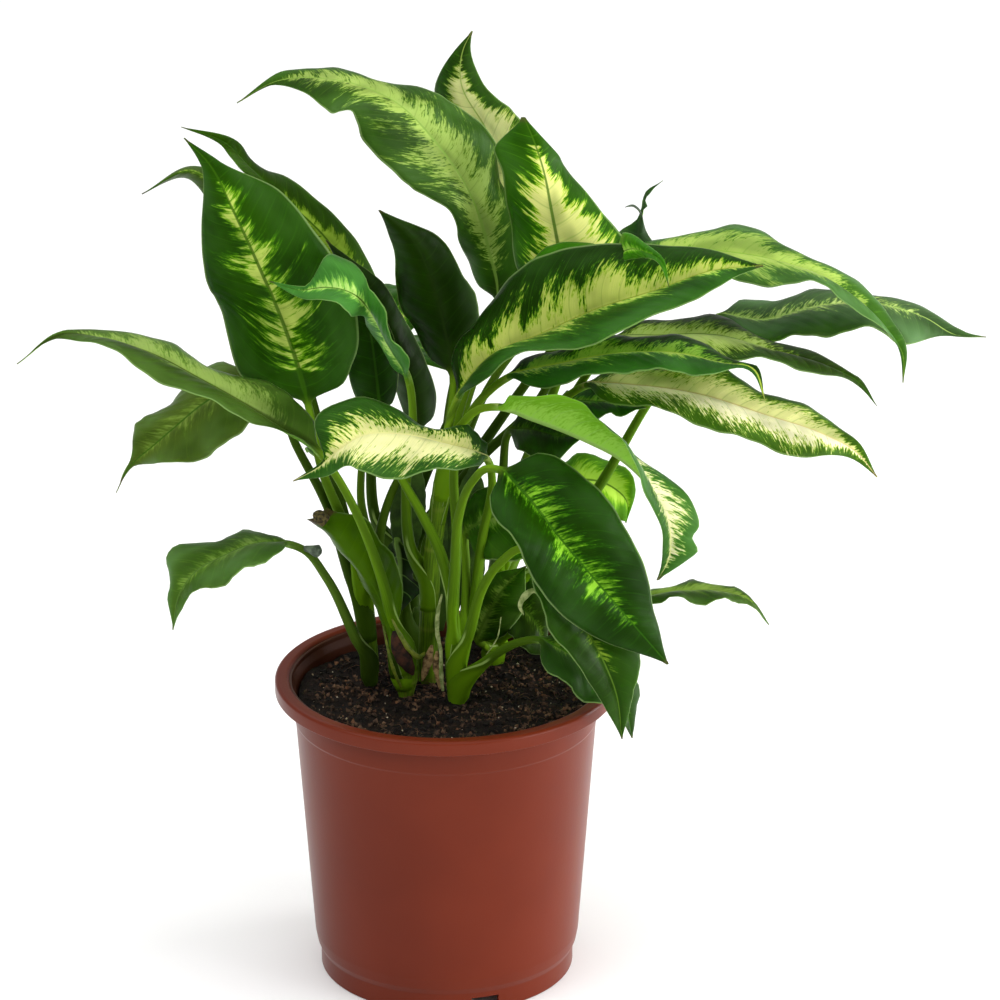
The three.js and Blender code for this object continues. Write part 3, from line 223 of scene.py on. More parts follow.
# cane numbers the cane a leaf grows on, half is its real half width, and blade runs from the base to
# the tip. A row of nine adds what is seen of the left and of the right edge, each as across, up, lean.
LEAVES = [
    dict(name="leaf_arching_left", cane=3, half=34, wave=3.2, waves=5,
         stalk=[(0, 237.5, 10), (6, 262.5, 22), (17, 297.5, 34)],
         blade=[(26.5, 325, 38), (21.5, 352.5, 40, 9.5, 347.5, -0.6, 39, 357.5, 0.3),
         (12, 380, 36, -1, 374, 0.7, 29, 388.5, -0.5), (-3, 403.5, 26, -25, 388.5, 0.8, 15, 418.5, -0.6),
         (-29, 428.5, 10, -48, 419.5, 0.9, -22, 435.5, -0.8),
         (-60.5, 438, -4, -64, 426, 0.9, -59, 442.5, -0.9), (-85.5, 436.5, -12, -87, 435, 0, -84.5, 441, 0),
         (-104.5, 426, -16)],
         colours=((42, 70, 12), (66, 98, 24), (108, 138, 48), (150, 174, 82)),
         right=((48, 80, 20), (78, 110, 34), (118, 146, 56), (148, 172, 84)), pale=(0.36, 0.5),
         span=(0.08, 0.88), patches=1.8, flecks=1.7, spread=1.15, painted_sheen=0.12, rib=(118, 150, 62)),
    dict(name="leaf_top", cane=6, half=32,
         stalk=[(-20.5, 197.5, 50), (-0.5, 262.5, 58), (27, 312.5, 62)],
         blade=[(42, 340, 64), (34, 375, 68, 20, 370, -1, 50, 382.5, 0.8),
         (20.5, 412.5, 74, 3, 403.5, -1, 38, 418.5, 0.9),
         (7.5, 437.5, 78, -5, 437.5, -0.7, 19.5, 434.5, 0.7),
         (8.5, 452.5, 80, 4.5, 452.5, 0, 12.5, 451.5, 0), (13, 462, 80)],
         colours=((34, 54, 12), (72, 108, 24), (180, 196, 92), (230, 230, 160)), pale=(0.72, 0.85),
         span=(0.0, 0.86), streaks=1.3, rib=(150, 170, 80), **STALKS_IN_PAINTED_SHADE),
    dict(name="leaf_upright", cane=6, half=36,
         stalk=[(-18, 197.5, 46), (12, 242.5, 40), (49.5, 282.5, 26)],
         blade=[(60, 315.5, 17), (57, 348.5, 12, 35, 346.5, -0.5, 94, 348.5, -0.4),
         (53, 371, 12, 31, 371.5, -0.5, 78, 372, -0.4), (48, 395, 16, 25.5, 398.5, -0.4, 59, 395.5, -0.8),
         (42.5, 411, 20, 30, 410.5, 0, 48.5, 408.5, -0.6), (39, 419, 22)],
         colours=((36, 74, 4), (76, 136, 12), (176, 200, 62), (220, 222, 132)), pale=(0.42, 0.58),
         span=(0.0, 0.84), streaks=1.6, patches=1.4, rib=(62, 102, 16), rib_wide=1.5, **STALKS_IN_PAINTED_SHADE),
    dict(name="leaf_dark_centre", cane=3, half=34,
         stalk=[(-0.5, 227.5, 8), (1, 257.5, 12)],
         blade=[(3.5, 290, 14), (0, 310, 14, -16, 312.5, -0.6, 17, 318.5, -0.3),
         (-6.5, 335, 13, -25, 332.5, -0.6, 11, 336, -0.3),
         (-16.5, 357.5, 10, -26, 352.5, -0.6, -4.5, 359.5, -0.6), (-33.5, 372.5, 4)],
         colours=((26, 46, 4), (34, 60, 7), (46, 78, 13), (56, 92, 20)), pale=(0.0, 0.0), rib=(28, 48, 5)),
    dict(name="leaf_sweeping_right", cane=3, half=35,
         stalk=[(0, 240, 4), (0.5, 260, 1)],
         blade=[(6, 278.5, -4), (24, 300.5, -14, 12, 315, -0.9, 30, 297, 0.9),
         (47, 310, -24, 35, 339.5, -0.6, 55, 302.5, 1), (77, 323.5, -34, 64, 355, -0.5, 83, 308.5, 1),
         (104.5, 332, -40, 102, 354.5, -0.8, 116, 325, 1), (133, 342, -42, 133, 353, -0.8, 138, 334.5, 0.9),
         (158.5, 344.5, -40)],
         colours=((22, 46, 1), (54, 104, 6), (150, 180, 50), (188, 198, 98)),
         right=((42, 84, 22), (66, 118, 34), (134, 180, 56), (196, 212, 104)), pale=(0.34, 0.14),
         span=(0.0, 1.15), patches=1.6, flecks=1.3, rib=(138, 152, 56)),
    dict(name="leaf_curled_tip", cane=3, half=22,
         stalk=[(0, 242.5, 10), (8, 277.5, 12)],
         blade=[(27, 316.5, 6), (52, 338.5, -4, 49.5, 354.5, -0.6, 59.5, 327.5, 0.4),
         (81, 348.5, -14, 83, 354.5, -1, 83, 342.5, 0.1),
         (99, 351.5, -52, 97.5, 357.5, -0.6, 100, 348.5, 0.6),
         (108.5, 345.5, -66, 109.5, 346.5, 0, 107, 344.5, 0.3), (111.5, 334, -70)],
         colours=((54, 112, 12), (82, 152, 20), (126, 184, 48), (162, 206, 86)), pale=(0.3, 0.3)),
    dict(name="leaf_young", cane=6, half=12, wave=0.6,
         stalk=[(-13, 197.5, 52), (27, 267.5, 60), (77, 327.5, 58)],
         blade=[(97, 343.5, 56), (95.5, 356, 56, 83, 357, -0.4, 105, 354.5, -0.4),
         (96.5, 363, 56, 88, 363, -0.4, 100, 362, -0.4), (97.25, 367.5, 56, 95.25, 367.25, 0, 98.5, 368, 0),
         (97.75, 372, 56, 97.1, 372, 0, 98.5, 372.25, 0),
         (99.15, 375, 56, 97.95, 374.5, 0, 100.8, 374.75, 0),
         (99.1, 377.25, 56, 98.3, 377.25, 0, 99.7, 377.25, 0),
         (101, 381.25, 55.5, 99.9, 381.7, 0, 101.8, 380.5, 0), (108.5, 387.25, 54)],
         colours=((54, 78, 46), (68, 98, 58), (84, 114, 70), (104, 132, 84)), pale=(0.0, 0.0),
         rib=(52, 72, 42), dry=0.3, **STALKS_IN_PAINTED_SHADE),
    dict(name="leaf_long_right", cane=5, half=33,
         stalk=[(28, 197.5, 42), (47, 262.5, 44), (69.5, 317.5, 42)],
         blade=[(88, 345.5, 38), (111, 352.5, 34, 107, 357.5, -0.9, 117, 344.5, 0.8),
         (139.5, 351.5, 28, 141, 364, -0.9, 146, 336, 0.9),
         (169.5, 345.5, 20, 172, 354, -1, 175, 336.5, 0.9),
         (199.5, 331.5, 12, 202, 337.5, -1, 196, 330, 0.9),
         (220, 312.5, 6, 223, 319, -0.9, 216, 314.5, 0.9),
         (228.5, 299.5, 3, 230.5, 302.5, 0, 226.5, 302.5, 0), (228.5, 286, 2)],
         colours=((52, 92, 20), (80, 124, 34), (128, 164, 54), (162, 188, 86)), pale=(0.46, 0.6),
         span=(0.05, 0.72), patches=1.6, flecks=1.7, painted_sheen=0.5, rib=(120, 156, 54)),
    dict(name="leaf_far_right", cane=5, half=33,
         stalk=[(29.5, 177.5, 38), (49.5, 197.5, 44), (76, 233.5, 50), (99.5, 273.5, 52), (122, 306.5, 52)],
         blade=[(136, 319, 52), (158, 317.5, 54, 161, 328, -1, 161, 306.5, 0.9),
         (187, 324.5, 56, 188, 331, -1, 186, 310.5, 1), (215, 325.5, 56, 217, 328, -1, 213, 312, 1),
         (239.5, 318.5, 52, 244.5, 320.5, -0.9, 234.5, 306.5, 0.9),
         (254.5, 310, 50, 258, 312.5, 0, 252, 309.5, 0), (270, 309, 48)],
         colours=((62, 88, 48), (82, 112, 58), (144, 174, 80), (194, 212, 126)), pale=(0.1, 0.13),
         span=(0.0, 0.75), flecks=1.2, painted_sheen=0.5, rib=(150, 178, 90)),
    dict(name="leaf_right_upper", cane=5, half=33,
         stalk=[(28, 197.5, 36), (49.5, 252.5, 34), (72, 292.5, 24)],
         blade=[(85, 308, 18), (107, 309.5, 12, 108, 318, -1, 112, 301.5, 0.9),
         (137, 309.5, 4, 138, 317.5, -1, 134, 298.5, 0.9),
         (164.5, 301.5, -3, 163, 305.5, -1, 160, 296.5, 0.9),
         (191, 294, -8, 193, 296.5, -0.9, 188, 291, 0.8), (206, 286.5, -10, 207.5, 288, 0, 204.5, 285.5, 0),
         (215.5, 274.5, -10)],
         colours=((34, 52, 12), (82, 112, 30), (142, 168, 64), (176, 196, 106)), pale=(0.3, 0.75),
         span=(0.0, 0.66), flecks=1.2),
    dict(name="leaf_right_middle", cane=3, half=32,
         stalk=[(1.5, 237.5, 0), (8, 262.5, -4), (19.5, 280, -8)],
         blade=[(30.5, 288.5, -12), (57, 295.5, -22, 57, 303.5, -0.9, 60.5, 285, 0.8),
         (87, 300.5, -32, 87, 308.5, -1, 91, 293, 0.9), (117, 300.5, -44, 117, 309, -0.8, 117, 290.5, 0.9),
         (139.5, 295.5, -52, 144.5, 297.5, -0.7, 136, 291.5, 0.8),
         (153, 293.5, -52, 155.5, 294.5, 0, 151, 292.5, 0), (159.5, 277.5, -52)],
         colours=DEEP, right=SEA, pale=(0.3, 0.24), patches=1.2, flecks=1.5, rib=(168, 190, 70),
         rib_wide=1.4),
    dict(name="leaf_right_lower", cane=5, half=34,
         stalk=[(26, 189.5, 37), (37, 237.5, 22), (52, 270, 8)],
         blade=[(69.5, 284.5, -2), (97, 284.5, -12, 102, 294.5, -0.8, 93, 274.5, 0.8),
         (129.5, 279.5, -24, 135, 294.5, -0.6, 125, 267, 0.8),
         (159.5, 270, -32, 165, 279.5, -0.8, 153, 255.5, 0.8),
         (188, 260.5, -38, 192, 267.5, -0.9, 183, 249.5, 0.9),
         (205, 251.5, -40, 208, 254.5, 0, 202, 248.5, 0), (215.5, 239, -40)],
         colours=((52, 84, 12), (98, 136, 30), (172, 190, 84), (226, 224, 150)),
         right=((52, 84, 14), (96, 134, 34), (200, 208, 110), (248, 240, 198)), pale=(0.5, 0.64),
         span=(0.0, 0.97), flecks=1.7, rib=(196, 176, 118)),
    dict(name="leaf_twisted", cane=4, half=34,
         stalk=[(4.5, 153.5, -13), (3.5, 172.5, -14), (5.5, 207.5, -18), (4, 242.5, -24), (8, 265.5, -30),
         (17, 273, -33)],
         blade=[(26, 274, -35), (44.5, 268, -40, 44, 272.5, -1, 41, 280.5, 0.8),
         (71, 257, -46, 73, 262, -1, 72, 272.5, 0.8), (89, 247, -52, 93, 251.5, -0.8, 86, 259.5, 0.9),
         (103, 232.5, -56, 115, 234.5, -0.5, 97.5, 234.5, 0.8),
         (111, 216.5, -58, 126.5, 214, -0.3, 107.25, 216.5, 0.6),
         (112, 209, -58, 124, 207.5, -0.3, 108.25, 209, 0.6),
         (112, 202.5, -58, 126, 201.5, -0.3, 108, 202.5, 0.5),
         (110.5, 196.5, -57, 120, 197, -0.2, 107.75, 197, 0.4), (105.5, 187.5, -56)],
         colours=((54, 96, 34), (82, 134, 48), (184, 200, 108), (240, 234, 190)), pale=(0.36, 0.42),
         span=(0.0, 0.94), under=(108, 164, 34), under_pale=(142, 194, 70), flecks=1.9, streaks=1.2,
         rib=(200, 204, 130)),
    dict(name="leaf_front", cane=4, half=36,
         stalk=[(3, 157.5, -14), (4.5, 192.5, -22), (6.5, 220, -34), (13, 236.5, -47), (20, 243, -54)],
         blade=[(27, 242.5, -60), (37.5, 232.5, -68, 53.5, 249.5, -0.5, 23, 222.5, 0.6),
         (57.5, 207.5, -80, 79, 228.5, -0.3, 37.5, 201.5, 0.6),
         (77, 184.5, -86, 97.5, 199.5, -0.3, 50, 177.5, 0.5),
         (94, 165, -86, 104, 171.5, -0.3, 73, 159.5, 0.5), (111, 145.5, -80)],
         colours=((24, 52, 2), (34, 76, 4), (74, 130, 14), (132, 186, 46)), pale=(0.07, 0.06),
         span=(0.0, 0.8), streaks=1.0, patches=1.0, spread=1.25, painted_sheen=0.06, rib=(40, 84, 8)),
    dict(name="leaf_over_rim", cane=4, half=34,
         stalk=[(5.5, 139.5, -16), (12, 162.5, -24), (18.5, 184, -34), (27, 196, -44), (38, 203, -52)],
         blade=[(49.5, 196.5, -60), (64.5, 171.5, -72, 83, 179.5, -0.5, 47.5, 172.5, 0.5),
         (77, 150, -80, 98, 151.5, -0.3, 60, 151.5, 0.5),
         (84.5, 132.5, -82, 93.5, 133.5, 0, 75, 131.5, 0.4), (88, 108, -78)],
         colours=((34, 60, 8), (44, 76, 12), (96, 128, 30), (140, 166, 50)), pale=(0.05, 0.02),
         span=(0.0, 0.66), spread=1.2, rib=(78, 110, 28), painted_sheen=0.05),
    dict(name="leaf_on_rim", cane=4, half=30,
         stalk=[(10, 133.5, -16), (19, 145.5, -24), (28, 152.5, -34), (37, 156.5, -42)],
         blade=[(47, 157.5, -48), (60, 151.5, -52, 68, 159.5, -0.6, 53.5, 139.5, 0.6),
         (75, 140.5, -54, 84, 151.5, -0.6, 70, 127.5, 0.6),
         (88, 126.5, -52, 96, 131.5, -0.5, 83, 122.5, 0.5), (93, 108.5, -48)],
         colours=((30, 56, 8), (40, 72, 12), (84, 118, 30), (116, 146, 46)), pale=(0.05, 0.05),
         # Its darker stalk tone is painted shade.
         span=(0.0, 0.9), painted_sheen=0.1, stalk_tone=(70, 98, 16), stalk_low=(70, 106, 10)),
    dict(name="leaf_low_right", cane=5, half=20,
         stalk=[(27, 157.5, 34), (49.5, 166.5, 24), (77, 174.5, 8)],
         blade=[(97, 178.5, -2), (117, 181.5, -8, 118, 185, -1, 117, 177.5, 0.9),
         (137, 181.5, -12, 136, 185, -1, 138, 176.5, 0.9),
         (151, 177.5, -14, 152.5, 178.5, -0.5, 149, 176.5, 0.5), (161.5, 165, -14)],
         colours=OLIVE, pale=(0.4, 0.3), painted_sheen=0.4),
    dict(name="leaf_left_upright", cane=1, half=35,
         stalk=[(-43, 182.5, 8), (-50.5, 213.5, 2), (-62, 242.5, -6)],
         blade=[(-69, 275.5, -12), (-74, 294.5, -14, -103.5, 290.5, -0.4, -47, 294.5, -0.4),
         (-82, 317.5, -18, -112.5, 323.5, -0.4, -44, 318.5, -0.3),
         (-94.5, 346.5, -20, -120.5, 338.5, -0.5, -62, 357.5, -0.2),
         (-107.5, 374.5, -20, -122, 368.5, -0.6, -89, 385.5, -0.3),
         (-118, 395, -16, -122, 393.5, 0, -112, 396, 0), (-131, 408.5, -10)],
         colours=((32, 64, 2), (50, 98, 6), (112, 162, 28), (190, 208, 98)), pale=(0.15, 0.22),
         span=(0.13, 0.82), patches=1.5, streaks=1.1, flecks=0.6, spread=1.2, rib=(50, 90, 8), rib_wide=1.5,
         painted_sheen=0.1),
    dict(name="leaf_left_behind", cane=1, half=20,
         stalk=[(-42, 177.5, 16), (-50.5, 217.5, 20), (-64, 267.5, 26)],
         blade=[(-77, 312.5, 30), (-92, 352.5, 26, -102, 348.5, -0.8, -82, 357.5, -0.5),
         (-110, 379.5, 20, -117, 374.5, -0.8, -103, 384.5, -0.5),
         (-128, 392, 14, -130, 388.5, -0.8, -127, 394.5, -0.8), (-152, 380.5, 10)],
         colours=OLIVE, pale=(0.2, 0.2), **STALKS_IN_PAINTED_SHADE),
    dict(name="leaf_curled_left", cane=3, half=30,
         stalk=[(-10, 183.5, 13), (-17, 200, 13), (-20, 232.5, 12), (-16.5, 267.5, 4)],
         blade=[(-19, 288.5, -2), (-26.5, 302.5, -10, -30.5, 300.5, -0.9, -22.5, 303.5, 0.9),
         (-35, 318.5, -20, -38, 316.5, -0.9, -32, 321.5, 0.8),
         (-48, 331, -32, -49.5, 321.5, 0.7, -47, 344.5, -0.6),
         (-60.5, 333.5, -42, -62, 327.5, 0.7, -60.5, 349.5, -0.5),
         (-73, 332.5, -46, -74, 329, 0, -70, 334.5, 0), (-88.5, 337, -48)],
         colours=((62, 118, 44), (80, 142, 54), (140, 196, 76), (190, 226, 120)), pale=(0.22, 0.2),
         span=(0.0, 0.95)),
    dict(name="leaf_narrow_left", cane=2, half=28,
         stalk=[(-24.5, 151.5, -2), (-30, 177.5, 6), (-33, 210, 12), (-26.5, 232.5, 16),
         (-18.5, 247.5, 19)],
         blade=[(-14, 261.5, 24), (-16, 282.5, 28, -24.5, 280, -0.5, -5, 281.5, -0.4),
         (-27.5, 312.5, 30, -36, 308.5, -0.5, -19, 314.5, -0.4),
         (-42, 337.5, 26, -48, 333.5, -0.5, -33, 337, -0.4), (-60, 357.5, 20)],
         colours=((30, 48, 10), (42, 64, 14), (58, 84, 22), (70, 96, 30)), pale=(0.0, 0.0),
         rib=(36, 52, 12), **STALKS_IN_PAINTED_SHADE),
    dict(name="leaf_folded_left", cane=6, half=30,
         stalk=[(-25, 197.5, 52), (-35, 217.5, 54), (-37.5, 242.5, 55), (-33, 277.5, 55)],
         blade=[(-28, 305, 52), (-43, 330, 48, -55, 323.5, -0.8, -31, 331.5, -0.6),
         (-60, 358.5, 42, -73, 351.5, -0.7, -47, 359, -0.5),
         (-80, 377.5, 36, -91, 371.5, -0.8, -73, 385.5, -0.5),
         (-97, 392.5, 28, -103, 392.5, 0.6, -94, 396, -0.6),
         (-112, 407, 22, -112.5, 405, 0, -109, 409.5, 0), (-132.5, 414, 16)],
         colours=((46, 74, 8), (66, 102, 12), (126, 160, 40), (156, 186, 62)), pale=(0.3, 0.55),
         span=(0.0, 0.6), patches=1.3, under=(92, 120, 46), under_pale=(112, 138, 60), **STALKS_IN_PAINTED_SHADE),
    dict(name="leaf_inner_left", cane=4, half=30,
         stalk=[(3, 167.5, -12), (-3, 201.5, -10), (-13, 222, -4), (-23, 240, 2)],
         blade=[(-32.5, 271, 8), (-34.5, 287.5, 12, -47, 283.5, -0.3, -24, 288.5, -0.3),
         (-37.5, 310, 16, -49, 307.5, -0.3, -27, 311.5, -0.3), (-42, 332.5, 18)],
         colours=DEEP, pale=(0.0, 0.0), rib=(40, 74, 10), painted_sheen=0.05),
    dict(name="leaf_far_left", cane=2, half=33,
         stalk=[(-23.5, 152.5, -5), (-26.5, 165, -8), (-30.5, 182.5, -14), (-38, 205, -24),
         (-45.5, 222.5, -32), (-55.5, 240.5, -38)],
         blade=[(-63.5, 251.5, -41), (-81, 262.5, -45, -83.5, 262.5, 0.3, -72, 276, -0.7),
         (-103, 276, -48, -107, 271.5, 0.8, -92, 285.5, -1),
         (-123, 287.5, -50, -130, 280.5, 0.9, -117, 294, -1),
         (-148, 300.5, -48, -155, 295.5, 0.9, -139, 304.5, -1),
         (-170.5, 307.5, -44, -175, 304.5, 0.9, -168, 312.5, -1),
         (-193, 310, -40, -194, 308.5, 0, -193, 311.5, 0), (-214.5, 295.5, -38)],
         colours=((60, 84, 26), (80, 110, 34), (112, 142, 52), (132, 160, 70)),
         right=((70, 98, 32), (92, 122, 44), (116, 144, 60), (138, 162, 80)), pale=(0.1, 0.42),
         span=(0.14, 0.78), patches=1.2, flecks=1.5, rib=(50, 68, 18), rib_wide=2.0),
    dict(name="leaf_front_centre", cane=4, half=34,
         stalk=[(7.5, 142.5, -7), (12, 162.5, 2), (18, 207.5, 4), (23, 237.5, -8)],
         blade=[(20, 248.5, -22), (0.5, 255.5, -42, 0, 244, 0.8, 9, 264, -0.3),
         (-23, 260.5, -56, -23, 239, 0.6, -13, 265.5, -0.8),
         (-42, 259.5, -66, -45, 242, 0.6, -48, 278.5, -0.7),
         (-54, 252, -74, -52, 244, 0.5, -66, 265.5, -0.4), (-63, 244.5, -78, -61, 239, 0, -61, 247.5, 0),
         (-76.5, 237, -80)],
         colours=((40, 78, 20), (76, 120, 38), (176, 194, 92), (228, 226, 162)),
         right=((30, 64, 6), (64, 114, 18), (172, 192, 78), (218, 216, 144)), pale=(0.7, 0.34),
         span=(0.06, 0.92), streaks=1.3, flecks=1.8, rib=(206, 204, 136)),
    dict(name="leaf_left_drooping", cane=1, half=34,
         stalk=[(-42, 167.5, 12), (-50.5, 197.5, 8), (-58, 221.5, 4), (-75, 255, -2)],
         blade=[(-88, 281.5, -6), (-103, 285.5, -8, -96, 271.5, 0.6, -111, 297.5, -0.8),
         (-120, 276.5, -8, -107, 256.5, 0.6, -133, 281, -0.8),
         (-137, 262.5, -8, -128, 247, 0.5, -150, 268, -0.6),
         (-150.5, 251, -6, -145.5, 245.5, 0.3, -157.5, 257.5, -0.3),
         (-154.5, 248, -5, -151.5, 245.25, 0, -157.5, 249.5, 0),
         (-158, 244.5, -4, -157.25, 243.75, 0, -158.75, 245.25, 0), (-165, 231, -2)],
         colours=((72, 92, 26), (84, 106, 32), (100, 126, 42), (124, 148, 62)), pale=(0.06, 0.06),
         spread=1.3, painted_sheen=0.3, dry=0.9, dry_from=0.9, **STALKS_IN_PAINTED_SHADE),
    dict(name="leaf_low_left", cane=1, half=30,
         stalk=[(-37.5, 139.5, 6), (-47, 162.5, -4), (-60, 189, -16), (-71, 202.5, -24)],
         blade=[(-79, 205.5, -30), (-95.5, 205.5, -38, -92, 197.5, 0.8, -95, 210.5, -0.8),
         (-112, 199, -46, -107, 187.5, 0.8, -117, 208, -0.7),
         (-125.5, 191, -50, -121, 183, 0.6, -139, 199.5, -0.6),
         (-133, 180.5, -52, -130, 177.5, 0.3, -138.5, 184.5, -0.3), (-136.5, 162.5, -54)],
         colours=((64, 94, 28), (84, 118, 36), (110, 144, 54), (132, 162, 74)), pale=(0.09, 0.08),
         span=(0.0, 0.8), spread=1.3, painted_sheen=0.5, rib=(84, 114, 50), stalk_tone=(82, 112, 34),
         stalk_low=(62, 84, 18), sheath_tone=(48, 70, 12)),
    dict(name="sheath_cut", cane=2, half=12.04, shape="sheath", roll=0.55,
         stalk=[(-24, 143.5, -6)],
         blade=[(-27, 157.5, -10), (-35, 181.5, -12, -42, 182.5, -0.8, -26, 191.5, -0.6),
         (-47, 199.5, -14, -54, 200, -0.8, -37, 208.5, -0.4),
         (-57, 212.5, -14, -63, 211, -0.5, -48, 219, -0.3), (-66, 218.5, -12)],
         colours=((64, 98, 2), (78, 114, 6), (92, 128, 14), (104, 138, 26)), pale=(0.0, 0.0), dry=1.0,
         dry_from=0.93, painted_sheen=0.0, rib=(64, 100, 10), rib_wide=0.5),
    dict(name="leaf_right_inner", cane=5, half=28,
         stalk=[(31, 187.5, 46), (42, 212.5, 56)],
         blade=[(53, 230, 64), (70, 237.5, 68, 66, 250, -0.5, 73, 224.5, 0.3),
         (83, 234, 70, 90, 243.5, -0.3, 80, 218.5, 0.3), (90, 227.5, 69, 95, 232, 0, 87, 217.5, 0),
         (90, 216, 67)],
         colours=((72, 122, 12), (100, 154, 18), (142, 186, 40), (168, 206, 70)), pale=(0.5, 0.5)),
    dict(name="leaf_right_hidden", cane=5, half=22,
         stalk=[(29.5, 207.5, 40), (42, 252.5, 26)],
         blade=[(56, 275.5, 12), (77, 276.5, 8, 78, 283.5, -0.6, 77, 269, 0.6), (100, 273.5, 2)]),
    # The leaves named shaded lie under the others; their darker tones are partly painted shade.
    dict(name="leaf_shaded_front", cane=4, half=28,
         stalk=[(6.5, 147.5, -6), (9.5, 170, 5), (10, 197.5, 12)],
         blade=[(10, 210.5, 16), (22, 218.5, 11, 12, 229.5, -0.4, 25, 197.5, 0.3),
         (37, 224, 4, 34, 236.5, -0.4, 42, 199.5, 0.4), (57, 227.5, -10)],
         colours=((44, 76, 10), (62, 100, 18), (92, 132, 36), (134, 166, 70)), pale=(0.2, 0.2), patches=1.3,
         painted_sheen=0.06, rib=(84, 120, 34)),
    dict(name="leaf_shaded_back", cane=6, half=22,
         stalk=[(-22, 157.5, 44), (-20, 187.5, 42), (-21, 210.5, 38)],
         blade=[(-24.5, 207.5, 30), (-23.5, 199.5, 28, -30, 201, -0.3, -15, 198.5, 0.3),
         (-22.5, 188.5, 28, -25, 188.5, -0.8, -15, 189.5, 0.6),
         (-23, 177.5, 27, -25, 177.5, -0.8, -15.5, 177.5, 0.6), (-32.5, 167.5, 26)],
         colours=((18, 32, 6), (24, 42, 8), (36, 56, 16), (48, 70, 26)), pale=(0.0, 0.0),
         under=(24, 40, 10), under_pale=(40, 58, 24), rib=(30, 48, 12), painted_sheen=0.0, **STALKS_IN_PAINTED_SHADE),
    dict(name="leaf_shaded_low", cane=5, half=26,
         stalk=[(22.5, 152.5, 37), (19, 155, 27)],
         blade=[(16, 157.5, 20), (23, 174.5, 18, 12, 177.5, -0.1, 37.5, 170.5, 0.3),
         (30, 184.5, 16, 19, 188.5, -0.1, 39, 178.5, 0.3), (40, 194.5, 14)],
         colours=((44, 70, 10), (62, 92, 18), (90, 122, 36), (118, 148, 56)), pale=(0.16, 0.18),
         patches=1.3, flecks=1.1, painted_sheen=0.06, rib=(80, 110, 30)),
    dict(name="leaf_shaded_right", cane=5, half=26,
         stalk=[(26, 162.5, 37), (29, 168.5, 31)],
         blade=[(31, 171.5, 26), (38, 173.5, 18, 43, 188.5, -0.3, 34, 158.5, 0.3),
         (45, 165.5, 13, 51.5, 177.5, -0.3, 39, 152.5, 0.3), (50, 150.5, 9)],
         colours=((34, 54, 6), (48, 74, 10), (72, 102, 22), (100, 130, 40)), pale=(0.12, 0.12), flecks=1.3,
         painted_sheen=0.06, rib=(52, 82, 14)),
    dict(name="leaf_shaded_middle", cane=5, half=28,
         stalk=[(27, 207.5, 42), (28.5, 242.5, 26)],
         blade=[(33, 262.5, 12), (44.5, 262.5, 0, 47, 272.5, -0.2, 42, 250, 0.5),
         (57, 259.5, -8, 60, 267.5, -0.2, 53, 246.5, 0.5), (69.5, 259.5, -16)],
         colours=((26, 44, 5), (36, 60, 8), (52, 82, 14), (72, 104, 24)), pale=(0.05, 0.05), painted_sheen=0.06,
         rib=(46, 72, 12), **STALKS_IN_PAINTED_SHADE),
    dict(name="leaf_back_right", cane=6, half=33,
         stalk=[(-21, 182.5, 52), (-4, 207.5, 64), (5, 242.5, 70), (22, 285, 82)],
         blade=[(39.5, 308.5, 96), (62, 327.5, 128, 34, 332.5, -1, 90, 322.5, 1),
         (80.5, 333.5, 160, 53, 337.5, -1, 107, 327.5, 1), (97, 331.5, 196)],
         **BACK),
    dict(name="leaf_back_left", cane=6, half=32,
         stalk=[(-24, 182.5, 56), (-22, 242.5, 72), (-17, 287.5, 86)],
         blade=[(-20.5, 308.5, 98), (-38, 323.5, 128, -60, 316.5, -1, -16, 332.5, 1),
         (-56, 324.5, 158, -77, 318.5, -1, -35, 332.5, 1), (-73, 320.5, 188)],
         **BACK),
    dict(name="leaf_back_middle", cane=6, half=32,
         stalk=[(-21.5, 174.5, 55), (-7, 197.5, 70), (-2, 237.5, 78), (2, 277.5, 86)],
         blade=[(4.5, 290.5, 94), (4, 300.5, 122, -27, 301.5, 0.3, 34, 299.5, 0.3),
         (4, 306.5, 156, -25, 306.5, 0.3, 33, 305.5, 0.3), (4.5, 309.5, 192)],
         **BACK),
    dict(name="leaf_back_low_left", cane=6, half=28,
         stalk=[(-23, 157.5, 53), (-35, 197.5, 66), (-42.5, 227.5, 80)],
         blade=[(-42, 251.5, 94), (-46, 256.5, 122, -70, 251.5, -1, -23, 262.5, 1), (-55, 261.5, 166)],
         **BACK),
    dict(name="leaf_back_low_right", cane=5, half=28,
         stalk=[(26.5, 161.5, 48), (30, 183.5, 58), (34, 202.5, 66)],
         blade=[(42, 223.5, 78), (55, 226.5, 112, 31, 231.5, -1, 79, 221.5, 1), (72, 227.5, 156)],
         **BACK),
]

